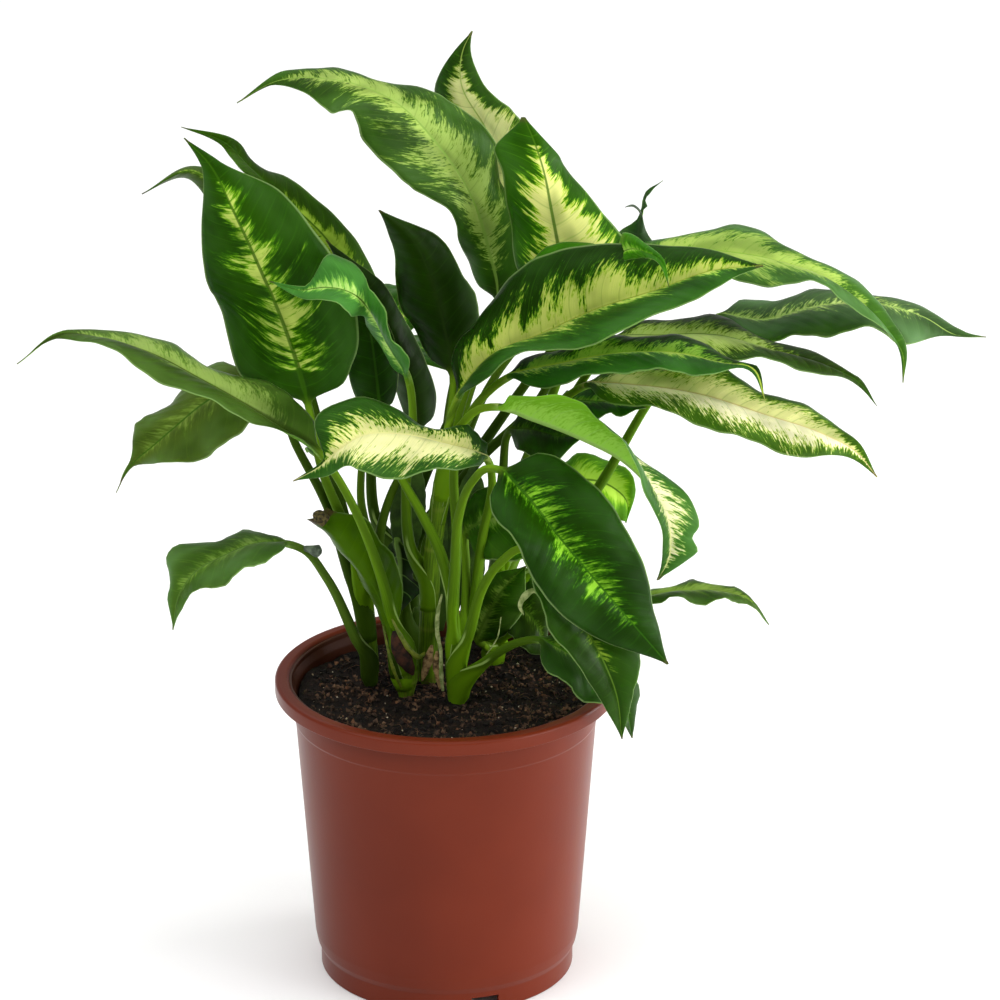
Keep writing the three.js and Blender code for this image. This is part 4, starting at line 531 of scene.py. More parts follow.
# Name, finish, slot, share of the width front to back, and the rows: across, up, back, radius.
SMALL_PARTS = [
    ("scar_ridge", "ridge", "cane", 0.7, [
        (-27, 168, -12, 0.4), (-23.5, 161, -14, 1), (-18.5, 153, -14.6, 1.3), (-14, 149, -13, 1.3),
        (-10.5, 151, -7, 0.7)]),
    ("scar_edge", "ridge", "cane", 0.7, [
        (-31.5, 165, -10, 0.4), (-29, 153, -13.2, 0.7), (-26, 142, -13.6, 0.9), (-22.5, 134, -11, 0.6)]),
    ("scar_hollow", "hollow", "cane", 0.35, [
        (-26, 162, -13, 0.8), (-25, 157, -14.2, 2.8), (-22, 150, -14.4, 4), (-18.5, 144, -13.4, 3),
        (-16.5, 140, -11.6, 0.8)]),
    ("dried_scale_left", "dried", "cane", 0.3, [
        (-7, 155, -4, 0.6), (-8.5, 149, -5, 2.2), (-10.5, 142, -5, 1.8), (-12, 137, -5, 0.5)]),
    ("dried_scale_right", "dried", "cane", 0.3, [
        (-4.5, 152, -6, 0.5), (-5, 146, -7, 1.7), (-4, 139, -8, 1.4), (-3, 133, -8, 0.5)]),
    ("faded_strip", "faded", "leaf", 0.4, [
        (-2, 180.5, -15, 0.4), (-4, 171.5, -15, 1), (-4.4, 162.5, -15, 1.1), (-2.6, 151.5, -15, 0.9),
        (-2.4, 140, -15, 1.1), (-1.5, 132, -14, 0.7)]),
    ("curled_scale", "faded", "leaf", 0.5, [
        (47.5, 180.5, -52, 0.5), (43.5, 182.2, -53, 1.3), (39.5, 179.5, -54, 1.6), (37, 174.5, -54, 1),
        (38.8, 170, -54, 0.3)]),
    ("dried_thread", "faded", "leaf", 1, [
        (27.5, 169, 2, 0.2), (25.5, 158.5, 0, 0.35), (20, 150, -2, 0.3)]),
    ("wilted_knob", "wilted", "leaf", 0.9, [
        (-73, 203.5, -25, 0.6), (-68.5, 203, -26, 1.9), (-65.5, 202.2, -26, 2.8), (-63.2, 201.8, -26, 2.6),
        (-62, 201.6, -26, 0.8)]),
    ("cut_end", "crust", "leaf", 0.8, [
        (-66.5, 220.5, -14.5, 0.8), (-65, 220, -14.5, 2.6), (-62.5, 218.5, -14.5, 3.5),
        (-60, 216.5, -14.5, 3)]),
    # Four dark blades in the gaps among the stalks, standing for leaves deep in the shade; their dark tone
    # is painted shade.
    ("painted_shade_blade_middle", "shade", "leaf", 0.06, [
        (4, 172, 26, 2), (7, 192, 26, 7), (11, 212, 25, 10), (13, 232, 24, 7), (14, 244, 23, 2)]),
    ("painted_shade_blade_left", "shade", "leaf", 0.06, [
        (-21, 190, 30, 2), (-20, 208, 30, 7), (-19, 226, 30, 9), (-18, 244, 30, 6), (-17, 256, 30, 1.5)]),
    ("painted_shade_blade_right", "shade", "leaf", 0.06, [
        (-3, 162, 27, 1.5), (-2.5, 176, 27, 5), (-1.5, 194, 27, 6.5), (0, 212, 26, 4.5), (1, 226, 26, 1.2)]),
    ("painted_shade_blade_outer", "shade", "leaf", 0.06, [
        (12, 166, 25, 1.2), (13, 178, 25, 4), (14.5, 194, 25, 5), (16, 210, 25, 3.5), (17, 220, 25, 1)]),
    ("young_hook", "wilted", "leaf", 0.8, [
        (98, 368.5, 56, 0.5), (97, 371.8, 56, 0.6), (95.5, 373.5, 56, 0.65), (93.5, 374.7, 56, 0.6),
        (91.4, 374.5, 56, 0.45), (89.3, 373.8, 56, 0.12)]),
]


# ---- smooth curves ---------------------------------------------------------------------------------
def curve_at(knots, values, x):
    """A smooth curve through the values at the knots, evaluated at every x."""
    knots = np.asarray(knots, float)
    values = np.asarray(values, float)
    x = np.clip(np.asarray(x, float), knots[0], knots[-1])
    if len(knots) == 1:
        return np.repeat(values, len(x), 0)
    slopes = np.diff(values, axis=0) / np.diff(knots)[:, None]
    tangents = np.empty_like(values)
    tangents[0], tangents[-1] = slopes[0], slopes[-1]
    for i in range(1, len(knots) - 1):
        before, after = knots[i] - knots[i - 1], knots[i + 1] - knots[i]
        tangents[i] = (slopes[i - 1] * after + slopes[i] * before) / (before + after)
    i = np.clip(np.searchsorted(knots, x, side="right") - 1, 0, len(knots) - 2)
    span = (knots[i + 1] - knots[i])[:, None]
    t = (x - knots[i])[:, None] / span
    return (
        (2 * t**3 - 3 * t**2 + 1) * values[i]
        + (t**3 - 2 * t**2 + t) * span * tangents[i]
        + (3 * t**2 - 2 * t**3) * values[i + 1]
        + (t**3 - t**2) * span * tangents[i + 1]
    )


def lengths_along(path):
    """The distance of each point of a path from its start."""
    return np.concatenate([[0], np.cumsum(np.linalg.norm(np.diff(path, axis=0), axis=1))])


def ease(x, start, end):
    t = np.clip((np.asarray(x, float) - start) / (end - start), 0, 1)
    return t * t * (3 - 2 * t)


def unit(v):
    return v / np.maximum(np.linalg.norm(v, axis=-1, keepdims=True), 1e-9)


# ---- points as seen from the front -----------------------------------------------------------------
SIGHT = np.array([0, math.cos(SIGHT_PITCH), -math.sin(SIGHT_PITCH)])
SIGHT_UPWARDS = np.array([0, math.sin(SIGHT_PITCH), math.cos(SIGHT_PITCH)])


def ray_to(across, up):
    return SIGHT * PLANE + SIGHT_UPWARDS * (up - SIGHT_UP) + np.array([across - SIGHT_ACROSS, 0, 0])


def placed(across, up, back):
    ray = ray_to(across, up)
    return EYE + ray * ((back - EYE[1]) / ray[1])


def edge_vector(middle, edge, half_width):
    """From a midrib point to the leaf's edge, seen at across, up; lean is the share of the real half
    width that leans towards the eye."""
    across, up, lean = edge
    distance = (middle - EYE) @ SIGHT
    flat = EYE + ray_to(across, up) * (distance / PLANE)
    seen = np.linalg.norm(flat - middle)
    depth = lean * math.sqrt(max(half_width**2 - seen**2, 0))
    return EYE + (flat - EYE) * (1 - depth / distance) - middle


# ---- canes' axes and radii -------------------------------------------------------------------------
def cane_axis(cane, heights):
    """Points of a cane's axis; above its top the axis goes straight on."""
    points = np.array(cane["points"], float)
    over = np.maximum(heights - points[-1, 2], 0)
    lean = (points[-1] - points[-2]) / (points[-1, 2] - points[-2, 2])
    return curve_at(points[:, 2], points, heights) + over[:, None] * lean


def cane_radius(cane, heights):
    """A cane is slimmer than its solid by the room its sheaths take, and narrower at the soil."""
    low, high = cane["points"][0][2], cane["points"][-1][2]
    share = np.clip((heights - low) / (high - low), 0, 1)
    radius = (cane["foot"] + (cane["top"] - cane["foot"]) * share) * cane["slim"]
    waist = cane["waist"] + (1 - cane["waist"]) * ease(heights, SOIL_LEVEL - 2, SOIL_LEVEL + 14)
    return np.maximum(radius * waist - 0.2 * np.maximum(heights - high, 0), 1.5)


# ---- meshes ----------------------------------------------------------------------------------------
def make_object(name, vertices, faces, material, smooth=True):
    """A mesh object from points in millimetres."""
    mesh = bpy.data.meshes.new(name)
    mesh.from_pydata((np.asarray(vertices) * MM).tolist(), [], faces)
    mesh.materials.append(material)
    mesh.polygons.foreach_set("use_smooth", [smooth] * len(mesh.polygons))
    made = bpy.data.objects.new(name, mesh)
    bpy.context.scene.collection.objects.link(made)
    return made


def add_attribute(made, name, *values):
    """Keeps three numbers for each vertex, for the materials to read."""
    attribute = made.data.attributes.new(name, "FLOAT_VECTOR", "POINT")
    triples = np.stack([v.ravel() for v in values], axis=1)
    attribute.data.foreach_set("vector", triples.astype(np.float32).ravel())


def strip_faces(rows, columns, first=0):
    """Quads between rings of vertices; each ring joins its last vertex to its first."""
    faces = []
    for k in range(rows - 1):
        a, b = first + k * columns, first + (k + 1) * columns
        for c in range(columns):
            d = (c + 1) % columns
            faces.append((a + c, a + d, b + d, b + c))
    return faces


def tube_faces(rows, columns, first=0):
    """The same, with a cap over the first ring and one over the last."""
    last = first + (rows - 1) * columns
    start_cap = tuple(range(first + columns - 1, first - 1, -1))
    return strip_faces(rows, columns, first) + [start_cap, tuple(range(last, last + columns))]


def turns(sides):
    return 2 * np.pi * np.arange(sides) / sides


# ---- materials -------------------------------------------------------------------------------------
def linear(red, green, blue):
    """A colour given as it looks on a screen, 0 to 255, as the renderer wants it."""
    parts = []
    for part in (red, green, blue):
        share = part / 255
        parts.append(share / 12.92 if share < 0.04045 else ((share + 0.055) / 1.055) ** 2.4)
    return (*parts, 1.0)


class Finish:
    """A procedural material, written as expressions on sockets. A colour of three numbers is given as it
    looks on a screen."""

    def __init__(self, name):
        self.material = bpy.data.materials.new(name)
        self.material.use_nodes = True
        self.nodes = self.material.node_tree.nodes
        self.links = self.material.node_tree.links
        self.shader = self.nodes["Principled BSDF"]

    def put(self, socket, value):
        if isinstance(value, bpy.types.NodeSocket):
            self.links.new(value, socket)
        else:
            screen = socket.type == "RGBA" and len(value) == 3
            socket.default_value = linear(*value) if screen else value

    def plug(self, node, **values):
        for key, value in values.items():
            self.put(node.inputs[key.replace("_", " ")], value)
        return node

    def set(self, **values):
        self.plug(self.shader, **values)

    def node(self, kind, *inputs, **settings):
        made = self.nodes.new("ShaderNode" + kind)
        for key, value in settings.items():
            setattr(made, key, value)
        for socket, value in zip(made.inputs, inputs):
            self.put(socket, value)
        return made

    def math(self, operation, *inputs):
        return self.node("Math", *inputs, operation=operation).outputs[0]

    def add(self, *terms):
        total = terms[0]
        for term in terms[1:]:
            total = self.math("ADD", total, term)
        return total

    def scale(self, value, by):
        return self.math("MULTIPLY", value, by)

    def step(self, value, start, end, low=0.0, high=1.0):
        made = self.node("MapRange", value, start, end, low, high)
        made.interpolation_type = "SMOOTHSTEP"
        return made.outputs[0]

    def attribute(self, name):
        made = self.node("Attribute", attribute_name=name)
        return self.node("SeparateXYZ", made.outputs["Vector"]).outputs

    def place(self):
        return self.node("TexCoord").outputs["Object"]

    def point(self, x, y, z):
        return self.node("CombineXYZ", x, y, z).outputs[0]

    def noise(self, place, scale=1.0, detail=2.0, roughness=0.5):
        made = self.node("TexNoise")
        return self.plug(made, Vector=place, Scale=scale, Detail=detail, Roughness=roughness).outputs[0]

    def swing(self, value, by):
        """Noise around nought: a noise value less a half, times by."""
        return self.scale(self.math("SUBTRACT", value, 0.5), by)

    def mixed(self, first, result, factor, a, b, **settings):
        made = self.node("Mix", factor, **settings)
        self.put(made.inputs[first], a)
        self.put(made.inputs[first + 1], b)
        return made.outputs[result]

    def mix(self, factor, a, b, blend="MIX"):
        return self.mixed(6, 2, factor, a, b, data_type="RGBA", blend_type=blend)

    def mix_value(self, factor, a, b):
        return self.mixed(2, 0, factor, a, b, data_type="FLOAT")

    def ramp(self, factor, *stops):
        made = self.node("ValToRGB", factor)
        elements = made.color_ramp.elements
        while len(elements) < len(stops):
            elements.new(0.5)
        for element, (position, colour) in zip(elements, stops):
            element.position = position
            element.color = linear(*colour)
        return made.outputs[0]

    def bump(self, height, distance, strength=1.0):
        made = self.node("Bump")
        return self.plug(made, Strength=strength, Distance=distance, Height=height).outputs["Normal"]


def leaf_finish(name, look, seed):
    """A leaf and its stalk. leaf_mm holds the distance along the blade, which is below nought on the
    stalk, the signed distance across, and the share of the blade's length; leaf_tone holds how far
    inside the pale middle a point is, its share of the way to the edge, and 1 on the upper face."""
    f = Finish(name)
    along, across, share = f.attribute("leaf_mm")
    pale, out, upper = f.attribute("leaf_tone")
    reach = f.math("ABSOLUTE", across)
    # Side veins leave the midrib forwards and bend towards the tip.
    bend = f.scale(reach, f.add(f.scale(reach, VEIN_BEND), VEIN_START))
    vein = f.math("SUBTRACT", along, bend)
    half = f.add(f.math("SIGN", across), seed)

    def streaked(fine, stretched, shift, detail):
        place = f.point(f.scale(vein, fine), f.scale(reach, stretched), f.add(half, shift))
        return f.noise(place, detail=detail, roughness=0.62)

    patches, streaks, flecks, fibres = (streaked(*grain) for grain in LEAF_GRAINS)
    roughened = [f.swing(patches, look["patches"]), f.swing(streaks, look["streaks"])]
    level = f.add(pale, 0.5, *roughened, f.swing(flecks, look["flecks"]))
    face = f.ramp(level, *zip(TONE_STOPS, look["colours"]))
    if "right" in look:
        right = f.ramp(level, *zip(TONE_STOPS, look["right"]))
        face = f.mix(f.step(across, -0.1, 0.1), face, right)
    # Slow changes of tone, faint side veins, a painted grey-green sheen near the edge, the midrib and a
    # thin edge.
    dark, green = look["colours"][:2]
    tone = f.noise(f.point(f.scale(along, 0.03), f.scale(across, 0.05), seed + 3.0), detail=2)
    face = f.mix(f.step(tone, 0.4, 0.65, 0.0, 0.45), face, dark, "MULTIPLY")
    face = f.mix(f.scale(f.step(fibres, 0.3, 0.7), 0.12), face, green)
    between = f.math("PINGPONG", f.add(vein, f.swing(patches, 6.0)), VEIN_GAP)
    inner = f.step(out, 0.98, 0.6)
    face = f.mix(f.scale(f.step(between, 0.0, 0.6, 1.0, 0.0), f.scale(inner, 0.3)), face, green)
    painted_sheen_mask = f.scale(f.step(out, 0.25, 0.9), f.step(tone, 0.3, 0.6, 1.0, 0.2))
    face = f.mix(f.scale(painted_sheen_mask, look["painted_sheen"]), face, PAINTED_SHEEN_TONE)
    rib_half = f.scale(f.math("MULTIPLY_ADD", share, -0.85, 1.15), look["rib_wide"])
    rib = f.step(f.math("DIVIDE", reach, rib_half), 0.5, 1.1, 1.0, 0.0)
    face = f.mix(f.scale(rib, 0.85), face, look["rib"])
    face = f.mix(f.scale(f.step(out, 0.96, 0.985), 0.4), face, THIN_EDGE)
    dried = f.step(f.add(share, f.swing(flecks, 0.03)), look["dry_from"], look["dry_from"] + 0.025)
    face = f.mix(f.scale(dried, look["dry"]), face, DRIED_TIP)

    below = f.ramp(level, (0.3, look["under"]), (0.75, look["under_pale"]))
    below = f.mix(f.step(between, 0.0, 0.6, 0.35, 0.0), below, UNDER_VEIN)
    below = f.mix(f.step(reach, 0.6, 1.8, 0.8, 0.0), below, UNDER_RIB)
    blade = f.mix(upper, below, face)

    threads = f.noise(f.point(f.scale(along, 0.03), f.scale(out, 7.0), seed), detail=2)
    up_stalk = f.add(f.scale(along, 0.006), f.swing(threads, 0.7), 0.8)
    stalk = f.ramp(up_stalk, (0.0, look["stalk_low"]), (0.8, look["stalk_tone"]))
    # On the stalk the first value of leaf_tone is 1 on the sheath, and its sides are darkened with painted
    # shade; the edges of the sheath are thin and pale.
    stalk = f.mix(f.scale(f.step(pale, 0.2, 1.0), 0.7), stalk, look["sheath_tone"])
    stalk = f.mix(f.step(out, 0.35, 1.0, 0.0, 0.45), stalk, PAINTED_STALK_SHADE)
    hem = f.scale(f.step(out, 0.955, 0.985), f.step(pale, 0.1, 0.4))
    stalk = f.mix(f.scale(hem, 0.7), stalk, SHEATH_HEM)
    on_blade = f.step(along, -5.0, 6.0)
    f.set(Base_Color=f.mix(on_blade, stalk, blade))

    grain = f.noise(f.point(f.scale(along, 0.8), f.scale(across, 0.8), seed), detail=3)
    rough = f.add(f.scale(f.math("SUBTRACT", 1.0, upper), 0.14), f.swing(grain, 0.14), 0.36)
    f.set(Roughness=f.mix_value(on_blade, 0.5, rough), Specular_IOR_Level=0.035)
    quilt = f.scale(f.step(between, 0.0, VEIN_GAP), f.step(out, 1.0, 0.7))
    height = f.add(f.scale(quilt, 0.5), f.scale(fibres, 0.2), f.scale(grain, 0.1))
    f.set(Normal=f.bump(f.scale(height, on_blade), 0.0007, 0.6))
    f.set(Subsurface_Weight=0.1, Subsurface_Radius=(0.0022, 0.004, 0.0008), Subsurface_Scale=1.0)
    return f.material


def cane_finish():
    """A green stem with a little brown near the soil and faint rings; cane_mm holds height over the
    soil, the distance round, and how near the point is to a ring."""
    f = Finish("cane")
    height, around, ring = f.attribute("cane_mm")
    streak = f.noise(f.point(f.scale(around, 0.7), f.scale(height, 0.05), 2.0), detail=4, roughness=0.6)
    blotch = f.noise(f.point(f.scale(around, 0.16), f.scale(height, 0.14), 8.0), detail=4, roughness=0.65)
    green = f.mix(f.step(streak, 0.3, 0.7), (52, 80, 10), (98, 132, 20))
    brown = f.mix(streak, (52, 36, 16), (110, 92, 46))
    low = f.add(f.step(height, 0.0, 16.0, 0.2, 0.0), f.swing(blotch, 0.9))
    colour = f.mix(f.step(low, 0.15, 0.4), green, brown)
    colour = f.mix(f.scale(ring, 0.35), colour, (132, 146, 62))
    f.set(Base_Color=colour, Roughness=f.add(f.swing(streak, 0.2), 0.5), Specular_IOR_Level=0.08)
    f.set(Normal=f.bump(f.add(f.scale(streak, 0.6), f.scale(blotch, 0.5)), 0.0006, 0.6))
    return f.material


def pot_finish():
    """Satin moulded plastic, a little darker and duller in faint cloudy patches; darker inside, partly dirt
    and partly painted shade.
    """
    f = Finish("pot")
    place = f.place()
    cloud = f.noise(place, 14.0, 3.0)
    grain = f.noise(place, 900.0, 2.0)
    colour = f.mix(f.step(cloud, 0.3, 0.7), (98, 34, 15), (105, 38, 18))
    # The inner wall from the step's height up to just under the rim is darkened: partly dirt, partly painted
    # shade.
    x, y, z = f.node("SeparateXYZ", place).outputs
    from_axis = f.node("VectorMath", f.point(x, y, 0.0), operation="LENGTH").outputs["Value"]
    in_lip = f.step(z, MM * (POT_HEIGHT - LIP_HEIGHT - 1), MM * (POT_HEIGHT - LIP_HEIGHT))
    wall = f.mix_value(in_lip, MM * WALL_STEP_RADIUS, MM * (MOUTH_RADIUS + 0.3))
    inner = f.step(f.math("SUBTRACT", wall, from_axis), -MM * 0.2, MM * 0.2)
    inner = f.scale(inner, f.step(z, MM * (POT_HEIGHT - 0.6), MM * (POT_HEIGHT - 1.6)))
    inner = f.scale(inner, f.step(z, MM * STEP_HEIGHT, MM * (STEP_HEIGHT + 1)))
    colour = f.mix(f.scale(inner, 0.8), colour, (58, 34, 22))
    f.set(Base_Color=colour, Roughness=f.add(f.swing(cloud, 0.08), 0.32), Specular_IOR_Level=0.14)
    f.set(Normal=f.bump(grain, 0.00006, 0.5))
    return f.material


def soil_finish():
    f = Finish("soil")
    place = f.place()
    clump = f.noise(place, 160.0, 5.0, 0.65)
    speck = f.noise(place, 900.0, 2.0)
    colour = f.ramp(clump, (0.35, (12, 8, 6)), (0.6, (30, 20, 14)), (0.8, (70, 46, 32)))
    colour = f.mix(f.step(speck, 0.72, 0.8), colour, (112, 82, 56))
    f.set(Base_Color=colour, Roughness=0.95, Specular_IOR_Level=0.2)
    f.set(Normal=f.bump(clump, 0.004, 0.9))
    return f.material


def plain_finish(name, low, high, roughness, scale=300.0, patchy=0.0):
    """Two colours in cloudy patches, for fibres, crumbs and dried pieces; patchy thins out the light one
    in places a few centimetres apart."""
    f = Finish(name)
    cloud = f.noise(f.place(), scale, 4.0, 0.6)
    shade = f.noise(f.place(), 55.0, 2.0)
    light = f.mix(f.scale(f.step(shade, 0.6, 0.42), patchy), high, low)
    f.set(Base_Color=f.mix(f.step(cloud, 0.35, 0.65), low, light))
    f.set(Roughness=roughness, Specular_IOR_Level=0.3)
    f.set(Normal=f.bump(cloud, 0.0006, 0.6))
    return f.material


# ---- leaves ----------------------------------------------------------------------------------------
def leaf_outline(s, shape):
    """The share of the half width at a share s of the blade's length."""
    s = np.clip(s, 0, 1)
    if shape == "sheath":
        return np.minimum(s / 0.25, 1) ** 0.6 * (1 - 0.45 * ease(s, 0.8, 1))
    return 2.68 * s**0.55 * (1 - s) ** 0.95 * (1 - 0.3 * ease(s, 0.82, 1))


def both_faces(upper, lower):
    """Rows of the upper face, and back along the lower one."""
    return np.concatenate([upper, lower[:, ::-1]], axis=1)


def build_leaf(leaf, cane, rank, seed):
    """A leaf with its stalk; the stalk's foot is a sheath that wraps the cane, over those of the
    leaves above it, of which there are rank."""
    path = np.array([placed(*row[:3]) for row in leaf["stalk"] + leaf["blade"]])
    low = max(path[0][2] - SHEATH_DROP, SOIL_LEVEL - 3)
    low_axis, foot_axis = cane_axis(cane, np.array([low, path[0][2]]))
    path = np.concatenate([[low_axis + SHEATH_LEAN * (path[0] - foot_axis)], path])
    knots = lengths_along(path)
    first = len(leaf["stalk"]) + 1
    base, end = knots[first], knots[-1]
    length = end - base
    rib_at, left_ribs, right_ribs = [], [], []
    for row, at, middle in zip(leaf["blade"], knots[first:], path[first:]):
        if len(row) > 3:
            rib_at.append((at - base) / length)
            share = float(leaf_outline(rib_at[-1], leaf["shape"]))
            for ribs, edge in ((left_ribs, row[3:6]), (right_ribs, row[6:9])):
                ribs.append(edge_vector(middle, edge, leaf["half"] * share) / share)

    stalk_strips = max(6, round(base / STALK_STATION))
    blade_strips = max(12, round(length / STATION))
    on_stalk = -base / length * (1 - np.arange(stalk_strips) / stalk_strips)
    s = np.concatenate([on_stalk, np.linspace(0, 1, blade_strips + 1) ** CROWDING])
    knot = base + s * length
    reach = 0.01 * end
    middle = curve_at(knots, path, knot)
    along = unit(curve_at(knots, path, knot + reach) - curve_at(knots, path, knot - reach))
    on_blade = np.maximum(s, 0)
    share = np.maximum(leaf_outline(on_blade, leaf["shape"]), 0.02)
    left = curve_at(rib_at, left_ribs, on_blade) * share[:, None]
    right = curve_at(rib_at, right_ribs, on_blade) * share[:, None]
    across = unit(right - left)
    for k in range(stalk_strips - 1, -1, -1):
        across[k] = unit(across[k + 1] - (across[k + 1] @ along[k]) * along[k])

    # The stalk turns on its way down until its inner side faces the cane.
    sheath = min(path[1][2] - low + leaf["sheath"], 0.6 * base)
    axis = cane_axis(cane, middle[:, 2])
    guide = curve_at(knots, path, [sheath])
    lean = ((guide - cane_axis(cane, guide[:, 2])) * (1, 1, 0))[0]
    away = unit(lean - (along @ lean)[:, None] * along)
    round_cane = np.cross(away, along)
    turn = np.arctan2(
        np.sum(np.cross(across, round_cane) * along, axis=1), np.sum(across * round_cane, axis=1)
    )
    turn[stalk_strips:] = 0
    turn[:stalk_strips] = np.unwrap(turn[:stalk_strips][::-1])[::-1]
    turn *= 1 - ease(knot, sheath, max(base - 4, sheath + 4))
    across = across * np.cos(turn)[:, None] + np.cross(along, across) * np.sin(turn)[:, None]
    face = unit(np.cross(across, along))

    # Columns from the left edge to the right edge; the two beside the midrib keep close to it.
    half_width = 0.5 * (np.linalg.norm(left, axis=1) + np.linalg.norm(right, axis=1))
    near = np.clip(RIB_COLUMN / np.maximum(half_width, 0.1), 0.04, 1 / HALF_COLUMNS)[:, None]
    positive = near + (1 - near) * np.linspace(0, 1, HALF_COLUMNS)
    w = np.concatenate([-positive[:, ::-1], np.zeros((len(s), 1)), positive], axis=1)
    columns = w.shape[1]
    out = np.abs(w)
    edge = np.where(w[..., None] < 0, left[:, None], right[:, None])
    width = np.linalg.norm(edge, axis=2)
    phase = leaf["phase"] + np.where(w < 0, 0, RIGHT_PHASE)
    waving = 2 * np.pi * leaf["waves"] * on_blade[:, None]
    rng = np.random.default_rng(seed)
    fine = FINE_WAVE * out**3 * np.sin(3.3 * waving + 2 * phase + rng.uniform(0, 6))
    lift = leaf["arch"] * width * 4 * out * (1 - out)
    lift += np.minimum(share, 1)[:, None] * (leaf["wave"] * out**2 * np.sin(waving + phase) + fine)
    lift -= leaf["roll"] * width * out**2
    surface = middle[:, None] + edge * out[..., None] + face[:, None] * lift[..., None]

    normal = unit(np.cross(np.gradient(surface, axis=1), np.gradient(surface, axis=0)))
    to_blade = ease(s, 0, 0.07)[:, None, None]
    down = np.clip(-s * length / max(base, 1), 0, 1)
    radius = leaf["stalk_top"] + (leaf["stalk_foot"] - leaf["stalk_top"]) * down**1.5
    ridge = 0.8 * leaf["stalk_top"] * (1 - on_blade)
    angle = np.pi * (np.arange(columns) + 0.5) / columns

    # The sheath is a crescent round the cane, thick where the stalk runs in it and thin at its edges.
    hug = 1 - ease(knot, 0.25 * sheath, sheath)
    psi = -(SHEATH_SPREAD - np.clip(knot / sheath, 0, 1))[:, None] * np.cos(angle)
    layer = SHEATH_LAYER * rank * ease(knot, 0, 0.5 * sheath)
    inside = cane_radius(cane, middle[:, 2]) - 0.4 + layer
    outside = np.maximum(np.sum((middle - axis) * away, axis=1) + radius, inside + SHEATH_THICKNESS)
    bulge = np.exp(-((psi / SHEATH_BULGE) ** 2)) * ease(knot, -2, 0.3 * sheath)[:, None]
    outer = inside[:, None] + SHEATH_THICKNESS + (outside - inside - SHEATH_THICKNESS)[:, None] * bulge
    around = away[:, None] * np.cos(psi)[..., None] + round_cane[:, None] * np.sin(psi)[..., None]
    thickness = BLADE_THICKNESS / 2 * (1 - BLADE_EDGE * out**2)
    keel = np.exp(-((out * width / 1.1) ** 2)) * ridge[:, None]
    groove = np.exp(-((out * width / 0.8) ** 2)) * np.minimum(0.5, 0.35 * ridge)[:, None]

    def ring(side, sunk, reach_out):
        """Half of each ring of vertices: 1 for the upper face, -1 for the lower one."""
        round_part = (
            middle[:, None]
            - across[:, None] * (radius[:, None] * np.cos(angle))[..., None]
            + side * face[:, None] * (radius[:, None] * np.sin(angle))[..., None]
        )
        crescent = axis[:, None] + around * reach_out[..., None]
        round_part += (crescent - round_part) * hug[:, None, None]
        flat = surface + normal * (side * thickness - sunk)[..., None]
        return round_part + (flat - round_part) * to_blade

    inner = np.repeat(inside[:, None], columns, axis=1)
    vertices = both_faces(ring(1, groove, inner), ring(-1, keel, outer)).reshape(-1, 3)

    start, stop = leaf["span"]
    wide = ease(s, start - 0.02, start + 0.12) * (1 - ease(s, stop - 0.25, stop + 0.05))
    extent = np.where(w < 0, *leaf["pale"]) * wide[:, None]
    pale = np.where(extent > 0.01, (extent - out) / leaf["spread"], -0.6 - 0.4 * out)
    stalk = s[:, None] < 0
    pale = np.where(stalk, (1 - ease(knot, 0.6 * sheath, 1.3 * sheath))[:, None], pale)
    # On the stalk, out is 1 at its sides, where the finish paints shade and the sheath's pale hem.
    out = np.where(stalk, np.abs(np.cos(angle)), out)
    along_mm = np.repeat((s * length)[:, None], columns, axis=1)
    across_mm = w * np.where(s < 0, leaf["stalk_top"], half_width)[:, None]
    share = np.repeat(s[:, None], columns, axis=1)

    finish = leaf_finish(leaf["name"], leaf, seed)
    made = make_object(leaf["name"] + "_fine", vertices, tube_faces(len(s), 2 * columns), finish)
    add_attribute(made, "leaf_mm", *(both_faces(v, v) for v in (along_mm, across_mm, share)))
    upper = both_faces(np.ones_like(w), np.zeros_like(w))
    add_attribute(made, "leaf_tone", both_faces(pale, pale), both_faces(out, out), upper)
    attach(made, "root")
    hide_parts(leaf["name"])


# ---- pot -------------------------------------------------------------------------------------------
def apply_cuts(made, cutters):
    """Cuts the pieces of one cutter mesh out of made and keeps the result as its mesh."""
    change = made.modifiers.new("cut", "BOOLEAN")
    change.operation = "DIFFERENCE"
    change.solver = "EXACT"
    change.object = cutters
    ready = made.evaluated_get(bpy.context.evaluated_depsgraph_get())
    mesh = bpy.data.meshes.new_from_object(ready)
    made.modifiers.clear()
    made.data = mesh
    bpy.data.objects.remove(cutters)


def round_corners(profile, radius, steps=4):
    """A profile with each of its inner corners given a small arc."""
    rounded = [profile[0]]
    for before, corner, after in zip(profile, profile[1:], profile[2:]):
        corner = np.array(corner, float)
        towards = np.array(before) - corner, np.array(after) - corner
        reach = min(radius, *(0.45 * np.linalg.norm(v) for v in towards))
        start, stop = (corner + unit(v) * reach for v in towards)
        for i in range(steps + 1):
            t = i / steps
            rounded.append(tuple((1 - t) ** 2 * start + 2 * t * (1 - t) * corner + t**2 * stop))
    rounded.append(profile[-1])
    return rounded


